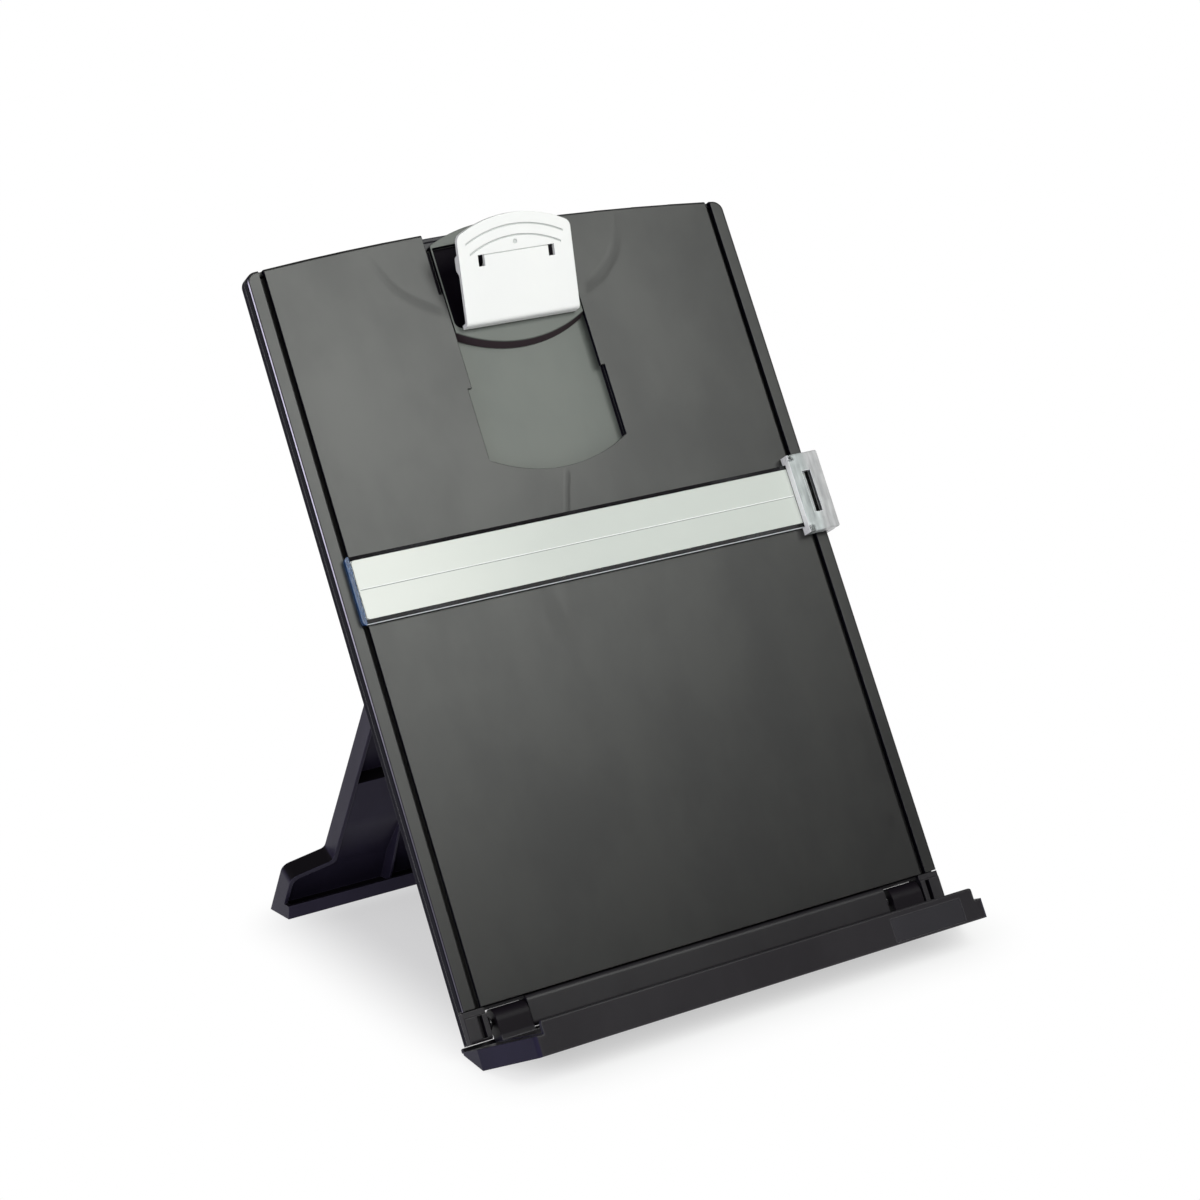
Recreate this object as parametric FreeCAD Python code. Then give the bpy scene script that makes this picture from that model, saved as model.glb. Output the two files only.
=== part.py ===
"""Desk copy holder with a sliding clip, a line guide, a folding ledge and a folding leg.

The pieces are drawn in the frame of the board: x across it with 0 at the middle, y up the board with 0 at the lower
edge of the front panel, z out of its front face with 0 on the face. At the end they are leant back and stood on
the desk: +Z up, -Y towards the reader, the origin under the middle of the whole object.
"""

import FreeCAD
import Part
import math
import os

V = FreeCAD.Vector

# ---- Driving dimensions, mm and degrees ------------------------------------------------------------------------
LEAN = 25.5                 # board from the vertical

BOARD_WIDTH = 237.2
BOARD_DEPTH = 9.0
SIDE_TOP = 322.2            # height of the board at its side edges
CROWN_RISE = 5.8            # rise of the arched top edge at the middle
BOARD_FOOT = 13.7           # how far the hinge zone reaches below the front panel
TOP_CORNER = 4.8            # corner radius, seen from the front
EDGE_ROUND = 1.2            # radius of the outer front edges
BACK_ROUND = 1.0            # radius of the outer back edges
PARTING = 4.7               # depth of the front shell
FRONT_SKIN = 2.2
BACK_SKIN = 2.0
SIDE_WALL = 1.8
RIB = 1.2                   # thickness of stiffening ribs
RIB_PITCH = 50.0            # spacing of the cross ribs
SHELL_GAP = 0.1             # between the shells and what lies between them

GROOVE_INSET = 7.4          # middle of a guide groove, in from the board's edge
GROOVE_WIDTH = 2.6
GROOVE_NECK = 1.4           # depth of the narrow part
GROOVE_UNDERCUT = 0.8       # widening on each side below the neck
GROOVE_DEPTH = 4.2
GROOVE_MOUTH = 3.2          # depth of the neck where it opens at the top
GROOVE_HOUSING = 1.3        # wall round the groove

CHANNEL_HALF = 34.2         # clip channel in the face
CHANNEL_LIP = 1.95          # width of the retaining lips
LIP_THICKNESS = 2.0
LIP_LENGTH = 44.0
LIP_INSET = 22.7            # upper end of the lips below the board's top
CHANNEL_DEPTH = 4.9
CHANNEL_LENGTH = 99.7       # straight sides of the channel
CHANNEL_SAG = 9.0           # fall of its arched foot below them
TRACK_WALL = 1.5

SCREW_INSET = 20.6          # outer screws, in from the board's edge
SCREW_INNER_X = 46.0
SCREW_LOW = 16.0
SCREW_MIDDLE = 150.0
SCREW_TOP_INSET = 20.2      # upper screws below the board's top
BOSS_RADIUS = 3.2
SCREW_RADIUS = 1.2
SCREW_LENGTH = 4.8
SCREW_HEAD_RADIUS = 2.6
SCREW_HEAD = 1.2
SCREW_GAP = 0.05

SLIDER_HALF = 31.8
SLIDER_GAP = 0.25           # under the lips, beside the tongues and over the channel floor
SLIDER_INSET = 0.2          # its sides end below the board's top
SLIDER_LENGTH = 40.6        # length of its sides
SLIDER_SAG = 8.3            # fall of the arched lower edge
SLIDER_RISE = 7.2           # rise of the arched upper edge
SLIDER_FLARE = 2.0          # its lower wall leans out towards the channel floor
SLIDER_CORNER = 1.5
TONGUE_INSET = 1.8          # tongues shorter than the sides at the top
HOLLOW_SILL = 1.4           # from the slider's shoulder up to the hollow
HOLLOW_RIM = 0.7
HOLLOW_RISE = 0.9
HOLLOW_TOP_RIM = 1.3
HOLLOW_FLOOR = 1.4
HOLLOW_CORNER = 3.5
BRAKE_DROP = 4.0            # leaf spring below the slider's shoulder
BRAKE_LENGTH = 26.0
BRAKE_WIDTH = 4.0
BRAKE_THICKNESS = 0.3
BRAKE_POCKET = 1.6

LEVER_HALF = 28.0
LEVER_TILT = 21.9           # plate from the board
LEVER_OFFSET = 0.2          # outer bend of the jaw above the slider's shoulder
LEVER_FOOT_Z = 5.2
LEVER_SIDE = 38.5           # plate length at its sides
LEVER_RISE = 7.3            # arch of its upper edge
LEVER_THICKNESS = 2.0
LEVER_BEND = 2.4
LEVER_CORNER = 4.0
JAW_GAP = 0.5               # jaw to slider, with no paper
JAW_WALL = 1.9
PIVOT_OFFSET = 21.8         # pivot above the outer bend of the jaw
PIVOT_Z = 6.5
PIVOT_PIN = 1.25            # radius
EAR_X = 12.0                # inner face of the lever's ears
EAR_THICKNESS = 1.8
EAR_RADIUS = 3.0
LUG_GAP = 0.5               # between the lever's ears and the slider's lugs
LUG_THICKNESS = 2.6
LUG_RADIUS = 3.2
LUG_HALF_LENGTH = 5.0
WINDOW_WIDTH = 3.0
WINDOW_LENGTH = 5.0
WINDOW_X = 17.3             # middle of a window
WINDOW_LOW = 24.6           # up the plate
SEAM_WIDTH = 0.4            # fine line that joins the tops of the windows
SEAM_DEPTH = 0.25
GATE_RADIUS = 1.0           # shallow dimple over it
GATE_RISE = 3.6
GATE_DEPTH = 0.3
GROOVE_ARC_PITCH = 4.8      # between the finger grooves of the plate
GROOVE_ARC_WIDTH = 0.7
GROOVE_ARC_DEPTH = 0.4
GROOVE_ARC_END = 2.5        # their ends in from the plate's edge
FLANGE_THICKNESS = 1.4
FLANGE_DEPTH = 2.4
FLANGE_LOW = 21.5
FLANGE_HIGH = 31.0
COIL_RADIUS = 2.6           # torsion spring, to the middle of the wire
COIL_WIRE = 0.8
COIL_TURNS = 9.5
COIL_PITCH = 1.15
SPRING_LEG = 11.0
SPRING_RISE = 8.0           # slope of the leg under the plate, degrees
SPRING_FALL = 36.0          # slope of the leg on the slider's floor
PIN_FIT = 0.04              # radial running clearance of the steel pins
PRESS_FIT = 0.02            # radial clearance modelled where a pin is fixed

GUIDE_Y = 178.3             # middle of the line guide
GUIDE_HEIGHT = 29.6
GUIDE_THICKNESS = 2.0
GUIDE_GAP = 0.9             # under the bar, over the face
BAR_LEFT_REACH = 0.1        # left end of the bar beyond the groove's middle
BAR_BEVEL = 1.0              # fall of the sloped margins above and below the film
BAR_SLOPE = 1.9              # width of those margins
BAR_RIGHT_GAP = 1.9         # right end in from the other groove's middle
FILM_THICKNESS = 0.2
FILM_MARGIN = 2.0
FILM_LINE = 0.5             # width of the reading line
FILM_END = 0.5              # film in from the bar's left end
FILM_CLAMP_GAP = 0.2
RUNNER_REACH = 1.9          # runner beyond the groove's middle
RUNNER_CORNER = 1.6
RUNNER_FIT = 0.15           # sideways clearance in the grooves
RUNNER_STUD = 1.3
STUD_SPACING = 18.0
CLAMP_HEIGHT = 36.6
CLAMP_REACH = 5.4           # clamp in from the groove's middle
CLAMP_WALL = 2.8
CLAMP_TOP = 7.0
CLAMP_PLATE = 2.1
CLAMP_SIDE_GAP = 0.4        # beside the board's edge
CLAMP_HOOK = 2.0            # thickness of the hook behind the board
CLAMP_HOOK_REACH = 4.0
CLAMP_BACK_GAP = 0.3
CLAMP_WINDOW = 4.4
CLAMP_WINDOW_LENGTH = 19.6
CLAMP_WINDOW_OFFSET = 1.8   # window out from the groove's middle
CLAMP_TAB = 3.0             # tabs on the left face, above and below the bar
LEAF_LENGTH = 20.0          # guide brake
LEAF_WIDTH = 4.0
LEAF_THICKNESS = 0.3
LEAF_POCKET = 1.0

RAIL_BLOCK = 10.1           # width of the corner blocks of the bottom rail
POCKET_WIDTH = 19.2         # between a block and the centre wall
RAIL_GAP = 0.35             # dark joint under the front panel
RAIL_STEP = 2.9             # top of the raised face of the blocks
RAIL_STEP_DEPTH = 0.7
RAIL_SETBACK = 0.6          # centre wall behind the face
RAIL_DEPTH = 7.8
RAIL_STRAP = 1.1
RAIL_LOWER_ROUND = 1.5
RAIL_UPPER_ROUND = 2.6
RAIL_WALL_FOOT = 13.0
SLOT_OFFSET = 0.6           # slot out from the groove's middle
SLOT_WIDTH = 2.2
SLOT_TOP = 3.2
SLOT_BOTTOM = 12.5
SLOT_DEPTH = 3.2

HINGE_Y = -7.4              # ledge hinge axis
HINGE_Z = -5.5
KNUCKLE_RADIUS = 5.6
KNUCKLE_WIDTH = 15.3
KNUCKLE_LEFT_GAP = 3.5      # left knuckle to its block
KNUCKLE_RIGHT_GAP = 2.7     # right knuckle to the centre wall
KNUCKLE_ROOM = 0.1          # pocket of the back cover above the knuckles
LEDGE_PIN = 1.2
LEDGE_PIN_GRIP = 4.0        # length of pin held beyond each side of the pocket
WASHER_RADIUS = 3.2
WASHER_WIRE = 0.5
TRAY_REAR = -14.1
TRAY_KNEE = 4.0             # z where the sides start to taper
TRAY_FRONT = 42.0
TRAY_TAPER = 9.5            # each side, from the knee to the lip
TRAY_CORNER = 2.5
TRAY_TOP_REAR = -15.2       # y of the tray's rim at the rear
TRAY_TOP_FRONT = -17.7
TRAY_UNDER_FRONT = -26.2
TRAY_UNDER_SLOPE = 0.036    # fall of the underside towards the lip
TRAY_WALL = 2.0
FLOOR_INSET = 13.6          # raised paper floor, in from the tray's sides
FLOOR_RISE = 0.5
FLOOR_REAR = -8.0
LIP_TOP = -12.2
LIP_WALL = 2.0
LIP_CORNER = 1.2
STOP_RIM = 1.8              # thickness of the rim along the rear
STOP_RIM_Z = -10.8
STOP_RIM_GAP = 0.1          # its top below the foot of the board
TRAY_NOSE = 0.8
TRAY_RIB_X = (-70.0, -35.0, 0.0, 35.0, 70.0)
FOOT_BLOCK = 20.0           # width of the solid rear corners
LABEL_INSET = 7.0           # label recess in from the lip's right end
LABEL_WIDTH = 36.0
LABEL_LOW = -25.0
LABEL_HEIGHT = 9.9
LABEL_THICKNESS = 0.4

GROUND_AT_FACE = -23.34     # y where the desk would meet the plane of the board's face
PAD_PROUD = 0.4             # rubber pads below the moulded feet
PAD_THICKNESS = 1.4
PAD_WIDTH = 14.0
PAD_MARGIN = 2.0

LEG_HINGE_DROP = 100.2      # hinge below the board's top
LEG_HINGE_GAP = 4.5         # hinge axis behind the back cover
LEG_PIN = 2.0
EAR_PLAY = 0.2              # between a bush's flange and an ear on the back cover
EAR_WALL = 4.2
BACK_EAR_RADIUS = 5.0
LEG_BARREL = 4.2
LEG_HEEL = 4.0
LEG_TOP_HALF = 56.4         # half width at the hinge
LEG_SHOULDER = 8.0          # straight sides beside the ears
LEG_ANKLE_HALF = 88.6
LEG_ANKLE = 32.0            # above the sole's rear edge, along the leg
LEG_TOE_HALF = 110.0
LEG_TOE = 27.3
LEG_TOE_CORNER = 5.0
LEG_SOLE_HALF = 114.1
LEG_DEPTH = 10.0
LEG_WALL = 1.8
LEG_SKIN = 2.0
LEG_SKIN_BEHIND = 6.5       # rear plane of the leg behind the hinge axis
LEG_WINDOW = 76.0           # ledge between the two panels, above the sole's rear edge
SOLE_REAR = 219.4           # how far behind the foot of the board the sole ends
SOLE_LENGTH = 19.2
SOLE_THICKNESS = 3.0
SOLE_LIP = 6.2              # height of the rim along the sole's front
LEG_RIB_X = (-56.8, -19.0, 19.0, 56.8)
LEG_RIB_TOP = 52.0
LEG_RIB_LEAN = 3.3          # top of a rib further in than its foot
BUSH_RADIUS = 3.0
BUSH_LENGTH = 8.0
BUSH_FLANGE = 0.8

TINY = 1e-6
REACH = 400.0               # longer than any piece, for cutting tools

# ---- Places that follow from them ------------------------------------------------------------------------------
BOARD_HALF = BOARD_WIDTH / 2
CROWN_TOP = SIDE_TOP + CROWN_RISE
GROOVE_CENTRE = BOARD_HALF - GROOVE_INSET
LIP_HIGH = SIDE_TOP - LIP_INSET
LIP_LOW = LIP_HIGH - LIP_LENGTH
CHANNEL_SHOULDER = SIDE_TOP - CHANNEL_LENGTH
CHANNEL_FOOT = CHANNEL_SHOULDER - CHANNEL_SAG
SCREW_X = BOARD_HALF - SCREW_INSET
SCREW_ROWS = (SCREW_LOW, SCREW_MIDDLE, SIDE_TOP - SCREW_TOP_INSET)
SLIDER_SIDE_TOP = SIDE_TOP - SLIDER_INSET
SLIDER_SHOULDER = SLIDER_SIDE_TOP - SLIDER_LENGTH
SLIDER_FOOT = SLIDER_SHOULDER - SLIDER_SAG
SLIDER_TOP = SLIDER_SIDE_TOP + SLIDER_RISE
HOLLOW_LOW = SLIDER_SHOULDER + HOLLOW_SILL
HOLLOW_HIGH = SLIDER_SIDE_TOP - HOLLOW_TOP_RIM
BRAKE_Y = SLIDER_SHOULDER - BRAKE_DROP
LEVER_FOOT = SLIDER_SHOULDER + LEVER_OFFSET
LEVER_CROWN = LEVER_SIDE + LEVER_RISE
PIVOT_Y = LEVER_FOOT + PIVOT_OFFSET
LUG_X = EAR_X + EAR_THICKNESS + LUG_GAP
GUIDE_LEFT = GROOVE_CENTRE + BAR_LEFT_REACH
GUIDE_RIGHT = GROOVE_CENTRE - BAR_RIGHT_GAP
CLAMP_LEFT = GROOVE_CENTRE - CLAMP_REACH
CLAMP_RIGHT = BOARD_HALF + CLAMP_SIDE_GAP + CLAMP_WALL
CLAMP_WINDOW_X = GROOVE_CENTRE + CLAMP_WINDOW_OFFSET
FILM_LEFT = GUIDE_LEFT - FILM_END
FILM_RIGHT = CLAMP_LEFT - FILM_CLAMP_GAP
RUNNER_END = GROOVE_CENTRE + RUNNER_REACH
RAIL_BLOCK_INNER = BOARD_HALF - RAIL_BLOCK
RAIL_CENTRE_HALF = RAIL_BLOCK_INNER - POCKET_WIDTH
KNUCKLE_LEFT = (-RAIL_BLOCK_INNER + KNUCKLE_LEFT_GAP, -RAIL_BLOCK_INNER + KNUCKLE_LEFT_GAP + KNUCKLE_WIDTH)
KNUCKLE_RIGHT = (RAIL_CENTRE_HALF + KNUCKLE_RIGHT_GAP, RAIL_CENTRE_HALF + KNUCKLE_RIGHT_GAP + KNUCKLE_WIDTH)
TRAY_FRONT_HALF = BOARD_HALF - TRAY_TAPER
FLOOR_HALF = BOARD_HALF - FLOOR_INSET
LABEL_LEFT = FLOOR_HALF - LABEL_INSET - LABEL_WIDTH
EAR_INNER = LEG_TOP_HALF + BUSH_FLANGE + EAR_PLAY
LEG_HINGE_Y = SIDE_TOP - LEG_HINGE_DROP
LEAN_SIN = math.sin(math.radians(LEAN))
LEAN_COS = math.cos(math.radians(LEAN))


# ---- Drawing helpers -------------------------------------------------------------------------------------------
def face_point(a, b, level):
    """Point of an outline seen from the front: x, y at the height z = level."""
    return V(a, b, level)


def side_point(a, b, level):
    """Point of a profile seen from the side: y, z at x = level."""
    return V(level, a, b)


def plan_point(a, b, level):
    """Point of a section seen along the board: x, z at y = level."""
    return V(a, level, b)


def outline(points, place, level):
    """Closed face through the points. A third number rounds that corner; ("via", a, b) bends the next edge."""
    corners, bends = [], {}
    for point in points:
        if point[0] == "via":
            bends[len(corners) - 1] = V(point[1], point[2])
        else:
            corners.append(point)
    count = len(corners)
    starts, middles, ends = [], [], []
    for index, corner in enumerate(corners):
        here = V(corner[0], corner[1])
        radius = corner[2] if len(corner) > 2 else 0.0
        if radius == 0.0:
            starts.append(here)
            middles.append(None)
            ends.append(here)
            continue
        before, after = corners[index - 1], corners[(index + 1) % count]
        back = (V(before[0], before[1]) - here).normalize()
        ahead = (V(after[0], after[1]) - here).normalize()
        half = back.getAngle(ahead) / 2
        reach = radius / math.tan(half)
        inward = (back + ahead).normalize()
        starts.append(here + back * reach)
        middles.append(here + inward * (radius / math.sin(half) - radius))
        ends.append(here + ahead * reach)

    def put(point):
        return place(point.x, point.y, level)

    edges = []
    for index in range(count):
        if middles[index] is not None:
            edges.append(Part.Arc(put(starts[index]), put(middles[index]), put(ends[index])).toShape())
        following = starts[(index + 1) % count]
        if index in bends:
            edges.append(Part.Arc(put(ends[index]), put(bends[index]), put(following)).toShape())
        elif (following - ends[index]).Length > TINY:
            edges.append(Part.makeLine(put(ends[index]), put(following)))
    return Part.Face(Part.Wire(edges))


def face_plate(points, low, high):
    """Outline seen from the front, between two heights z."""
    return outline(points, face_point, low).extrude(V(0, 0, high - low))


def side_plate(points, low, high):
    """Profile seen from the side, between two places x."""
    return outline(points, side_point, low).extrude(V(high - low, 0, 0))


def plan_plate(points, low, high):
    """Section seen along the board, between two places y."""
    return outline(points, plan_point, low).extrude(V(0, high - low, 0))


def box(x0, x1, y0, y1, z0, z1):
    """Box between two corners."""
    return Part.makeBox(x1 - x0, y1 - y0, z1 - z0, V(x0, y0, z0))


def rod(radius, x0, x1, y, z):
    """Round bar across the board."""
    return Part.makeCylinder(radius, x1 - x0, V(x0, y, z), V(1, 0, 0))


def post(radius, x, y, z0, z1):
    """Round bar square to the board."""
    return Part.makeCylinder(radius, z1 - z0, V(x, y, z0), V(0, 0, 1))


def joined(shapes):
    """One solid from several that touch."""
    first = shapes[0].fuse(list(shapes[1:])).removeSplitter()
    return first


def without(shape, tools):
    """Shape with the tools cut away."""
    return shape.cut(list(tools))


def rounded(shape, radius, chosen):
    """Shape with the chosen edges rounded; chosen is a test on an edge's bounding box."""
    edges = [edge for edge in shape.Edges if chosen(edge.BoundBox)]
    return shape.makeFillet(radius, edges)


def mirrored(shape):
    """The same piece on the other side of the middle."""
    return shape.mirror(V(0, 0, 0), V(1, 0, 0))


def desk_point(back, height):
    """Board-frame (y, z) of a point a distance back from the foot of the board and above the desk."""
    level = GROUND_AT_FACE * LEAN_COS + height
    return back * LEAN_SIN + level * LEAN_COS, level * LEAN_SIN - back * LEAN_COS


def screw_places():
    """Middle of each cover screw."""
    places = [(side * SCREW_X, y) for side in (-1, 1) for y in SCREW_ROWS]
    places += [(side * SCREW_INNER_X, SCREW_ROWS[1]) for side in (-1, 1)]
    places += [(side * SCREW_INNER_X, SCREW_ROWS[0]) for side in (-1, 1)]
    return places


# ---- The board -------------------------------------------------------------------------------------------------
def board_blank(bottom, inset, low, high):
    """Outline of the board, taken in by inset, between two heights."""
    half = BOARD_HALF - inset
    blank = face_plate(
        [(-half, bottom), (half, bottom), (half, SIDE_TOP - inset), ("via", 0, CROWN_TOP - inset),
         (-half, SIDE_TOP - inset)], low, high)
    corner = max(TOP_CORNER - inset, 1.0)
    return rounded(blank, corner, lambda b: b.ZLength > (high - low) / 2 and b.YMin > SIDE_TOP - inset - 1.0)


def channel_points(grow, top):
    """Outline of the clip channel, larger all round by grow."""
    half = CHANNEL_HALF + grow
    return [(-half, CHANNEL_SHOULDER), ("via", 0, CHANNEL_FOOT - grow), (half, CHANNEL_SHOULDER),
            (half, top), (-half, top)]


def groove_cut(centre):
    """Undercut guide groove, open at its lower end, its neck open at the top too."""
    half = GROOVE_WIDTH / 2
    wide = half + GROOVE_UNDERCUT
    neck = box(centre - half, centre + half, -1.0, REACH, -GROOVE_NECK, 1.0)
    under = box(centre - wide, centre + wide, -1.0, SIDE_TOP - SIDE_WALL, -GROOVE_DEPTH, -GROOVE_NECK)
    mouth = box(centre - half, centre + half, SIDE_TOP - 2 * SIDE_WALL, REACH, -GROOVE_MOUTH, 1.0)
    return [neck, under, mouth]


def front_panel():
    """Front shell: face, side rails, grooves, clip channel with its two lips, bosses and ribs."""
    blank = board_blank(0.0, 0.0, -PARTING, 0.0)
    blank = rounded(blank, EDGE_ROUND,
                    lambda b: b.ZMin > -TINY and not (b.YMax < 1.0 and b.XLength > BOARD_HALF))
    shell = without(blank, [board_blank(SIDE_WALL, SIDE_WALL, -PARTING - 1.0, -FRONT_SKIN)])
    inner = BOARD_HALF - SIDE_WALL
    wide = GROOVE_WIDTH / 2 + GROOVE_UNDERCUT + GROOVE_HOUSING
    top = SIDE_TOP - SIDE_WALL
    extras = []
    for side in (-1, 1):
        centre = side * GROOVE_CENTRE
        extras.append(box(centre - wide, centre + wide, 0.0, top, -GROOVE_DEPTH - GROOVE_HOUSING, -FRONT_SKIN))
    for x, y in screw_places():
        extras.append(post(BOSS_RADIUS, x, y, -BOARD_DEPTH + BACK_SKIN + SHELL_GAP, -FRONT_SKIN))
    rib_y = RIB_PITCH
    while rib_y < CHANNEL_FOOT - RIB_PITCH / 2:
        extras.append(box(-inner, inner, rib_y, rib_y + RIB, -PARTING, -FRONT_SKIN))
        rib_y += RIB_PITCH
    shell = joined([shell] + extras)
    cuts = [face_plate(channel_points(0.0, REACH), -REACH, 1.0),
            box(-CHANNEL_HALF - TRACK_WALL - SHELL_GAP, CHANNEL_HALF + TRACK_WALL + SHELL_GAP,
                CHANNEL_FOOT - TRACK_WALL - SHELL_GAP, SIDE_TOP + 1.0, -REACH, -FRONT_SKIN)]
    for side in (-1, 1):
        cuts += groove_cut(side * GROOVE_CENTRE)
    for x, y in screw_places():
        cuts.append(post(SCREW_RADIUS + SCREW_GAP, x, y, -BOARD_DEPTH, -FRONT_SKIN - 0.6))
    shell = without(shell, cuts)
    lips = [box(-CHANNEL_HALF - 1.0, -CHANNEL_HALF + CHANNEL_LIP, LIP_LOW, LIP_HIGH, -LIP_THICKNESS, 0.0)]
    lips.append(mirrored(lips[0]))
    return joined([shell] + lips)


def slide_track():
    """Tray behind the channel: its floor and the lower part of its walls."""
    top = SIDE_TOP - SIDE_WALL
    floor_low = -CHANNEL_DEPTH - TRACK_WALL
    tray = face_plate(channel_points(TRACK_WALL, top), floor_low, -FRONT_SKIN - SHELL_GAP)
    return without(tray, [face_plate(channel_points(0.0, REACH), -CHANNEL_DEPTH, 1.0)])


def hinge_pockets():
    """The two pockets in the foot of the board that hold the ledge's knuckles."""
    return [(-RAIL_BLOCK_INNER, -RAIL_CENTRE_HALF), (RAIL_CENTRE_HALF, RAIL_BLOCK_INNER)]


def back_cover():
    """Rear shell with the ears of the leg hinge, open round the ledge's knuckles."""
    blank = board_blank(-BOARD_FOOT, 0.0, -BOARD_DEPTH, -PARTING)
    blank = rounded(blank, BACK_ROUND, lambda b: b.ZMax < -BOARD_DEPTH + TINY)
    skin_top = -BOARD_DEPTH + BACK_SKIN
    rail_seat = -RAIL_DEPTH - SHELL_GAP
    inner = BOARD_HALF - SIDE_WALL
    cavity = board_blank(0.0, SIDE_WALL, skin_top, 0.0)
    foot_cavity = box(-inner, inner, -REACH, 0.0, rail_seat, 0.0)
    notch = box(-CHANNEL_HALF - TRACK_WALL - SHELL_GAP, CHANNEL_HALF + TRACK_WALL + SHELL_GAP,
                SIDE_TOP - 2 * SIDE_WALL, REACH, -CHANNEL_DEPTH - TRACK_WALL - SHELL_GAP, 0.0)
    pocket_top = HINGE_Y + KNUCKLE_RADIUS + KNUCKLE_ROOM
    pockets = [box(x0, x1, -REACH, pocket_top, -REACH, 0.0) for x0, x1 in hinge_pockets()]
    shell = without(blank, [cavity, foot_cavity, notch] + pockets)
    z_axis = -BOARD_DEPTH - LEG_HINGE_GAP
    foot = BACK_EAR_RADIUS + 4.0
    ears, holes = [], []
    for side in (-1, 1):
        x0, x1 = sorted((side * EAR_INNER, side * (EAR_INNER + EAR_WALL)))
        base = side_plate(
            [(LEG_HINGE_Y - foot, skin_top), (LEG_HINGE_Y - foot, -BOARD_DEPTH),
             (LEG_HINGE_Y - BACK_EAR_RADIUS, z_axis), (LEG_HINGE_Y + BACK_EAR_RADIUS, z_axis),
             (LEG_HINGE_Y + foot, -BOARD_DEPTH), (LEG_HINGE_Y + foot, skin_top)], x0, x1)
        ears += [base, rod(BACK_EAR_RADIUS, x0, x1, LEG_HINGE_Y, z_axis)]
        holes.append(rod(LEG_PIN + PRESS_FIT, x0 - 1, x1 + 1, LEG_HINGE_Y, z_axis))
    for x, y in screw_places():
        holes.append(post(SCREW_RADIUS + SCREW_GAP, x, y, -BOARD_DEPTH - 1, 0.0))
        holes.append(post(SCREW_HEAD_RADIUS + SCREW_GAP, x, y, -BOARD_DEPTH - 1, -BOARD_DEPTH + SCREW_HEAD))
    return without(joined([shell] + ears), holes)


def cover_screws():
    """Self-tapping screws with cross-slotted heads, driven in from the back."""
    screws = []
    for x, y in screw_places():
        head = post(SCREW_HEAD_RADIUS, x, y, -BOARD_DEPTH + SCREW_GAP, -BOARD_DEPTH + SCREW_HEAD)
        shank = post(SCREW_RADIUS, x, y, -BOARD_DEPTH + SCREW_HEAD, -BOARD_DEPTH + SCREW_HEAD + SCREW_LENGTH)
        arm, half, floor = SCREW_HEAD_RADIUS * 0.6, 0.3, -BOARD_DEPTH + SCREW_HEAD * 0.6
        cross = [box(x - arm, x + arm, y - half, y + half, -REACH, floor),
                 box(x - half, x + half, y - arm, y + arm, -REACH, floor)]
        screws.append(without(joined([head, shank]), cross))
    return Part.makeCompound(screws)


def bottom_rail():
    """Strip under the front panel: two slotted corner blocks, the centre wall and the thin strap that joins them."""
    depth = -RAIL_DEPTH
    top = -RAIL_GAP
    wall = side_plate(
        [(top, depth), (top, -RAIL_SETBACK, RAIL_UPPER_ROUND), (-RAIL_WALL_FOOT, -RAIL_SETBACK, RAIL_LOWER_ROUND),
         (-RAIL_WALL_FOOT, depth, RAIL_LOWER_ROUND)], -RAIL_CENTRE_HALF, RAIL_CENTRE_HALF)
    inner = BOARD_HALF - SIDE_WALL - SHELL_GAP
    strap = box(-inner, inner, top - RAIL_STRAP, top, depth, -RAIL_SETBACK - RAIL_UPPER_ROUND)
    pieces = [wall, strap]
    for side in (-1, 1):
        x0, x1 = sorted((side * RAIL_BLOCK_INNER, side * BOARD_HALF))
        k0, k1 = sorted((side * RAIL_BLOCK_INNER, side * inner))
        block = side_plate(
            [(top, -PARTING), (top, -RAIL_STEP_DEPTH), (-RAIL_STEP + 0.4, -RAIL_STEP_DEPTH), (-RAIL_STEP, 0.0, 0.5),
             (-BOARD_FOOT, 0.0, RAIL_LOWER_ROUND), (-BOARD_FOOT, -PARTING)], x0, x1)
        outer = side * BOARD_HALF
        block = rounded(block, EDGE_ROUND / 2,
                        lambda b, outer=outer: abs(b.XMin - outer) < TINY and b.XLength < TINY and b.ZMin > -TINY)
        core = side_plate(
            [(top, depth), (top, -PARTING), (-BOARD_FOOT, -PARTING), (-BOARD_FOOT, depth, RAIL_LOWER_ROUND)], k0, k1)
        pieces += [block, core]
    rail = joined(pieces)
    cuts = [rod(LEDGE_PIN + PRESS_FIT, x0 - LEDGE_PIN_GRIP, x1 + LEDGE_PIN_GRIP, HINGE_Y, HINGE_Z)
            for x0, x1 in hinge_pockets()]
    for side in (-1, 1):
        centre = side * (GROOVE_CENTRE + SLOT_OFFSET)
        cuts.append(box(centre - SLOT_WIDTH / 2, centre + SLOT_WIDTH / 2, -SLOT_BOTTOM, -SLOT_TOP,
                        -SLOT_DEPTH, 1.0))
    return without(rail, cuts)


# ---- The clip --------------------------------------------------------------------------------------------------
def slider_section(drop, level):
    """Outline of the slider at a height z, its arched lower edge dropped a little."""
    half = SLIDER_HALF
    low = SLIDER_SHOULDER - drop
    return outline(
        [(-half, low), ("via", 0, SLIDER_FOOT - drop), (half, low), (half, SLIDER_SIDE_TOP),
         ("via", 0, SLIDER_TOP), (-half, SLIDER_SIDE_TOP)], face_point, level).OuterWire


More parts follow.
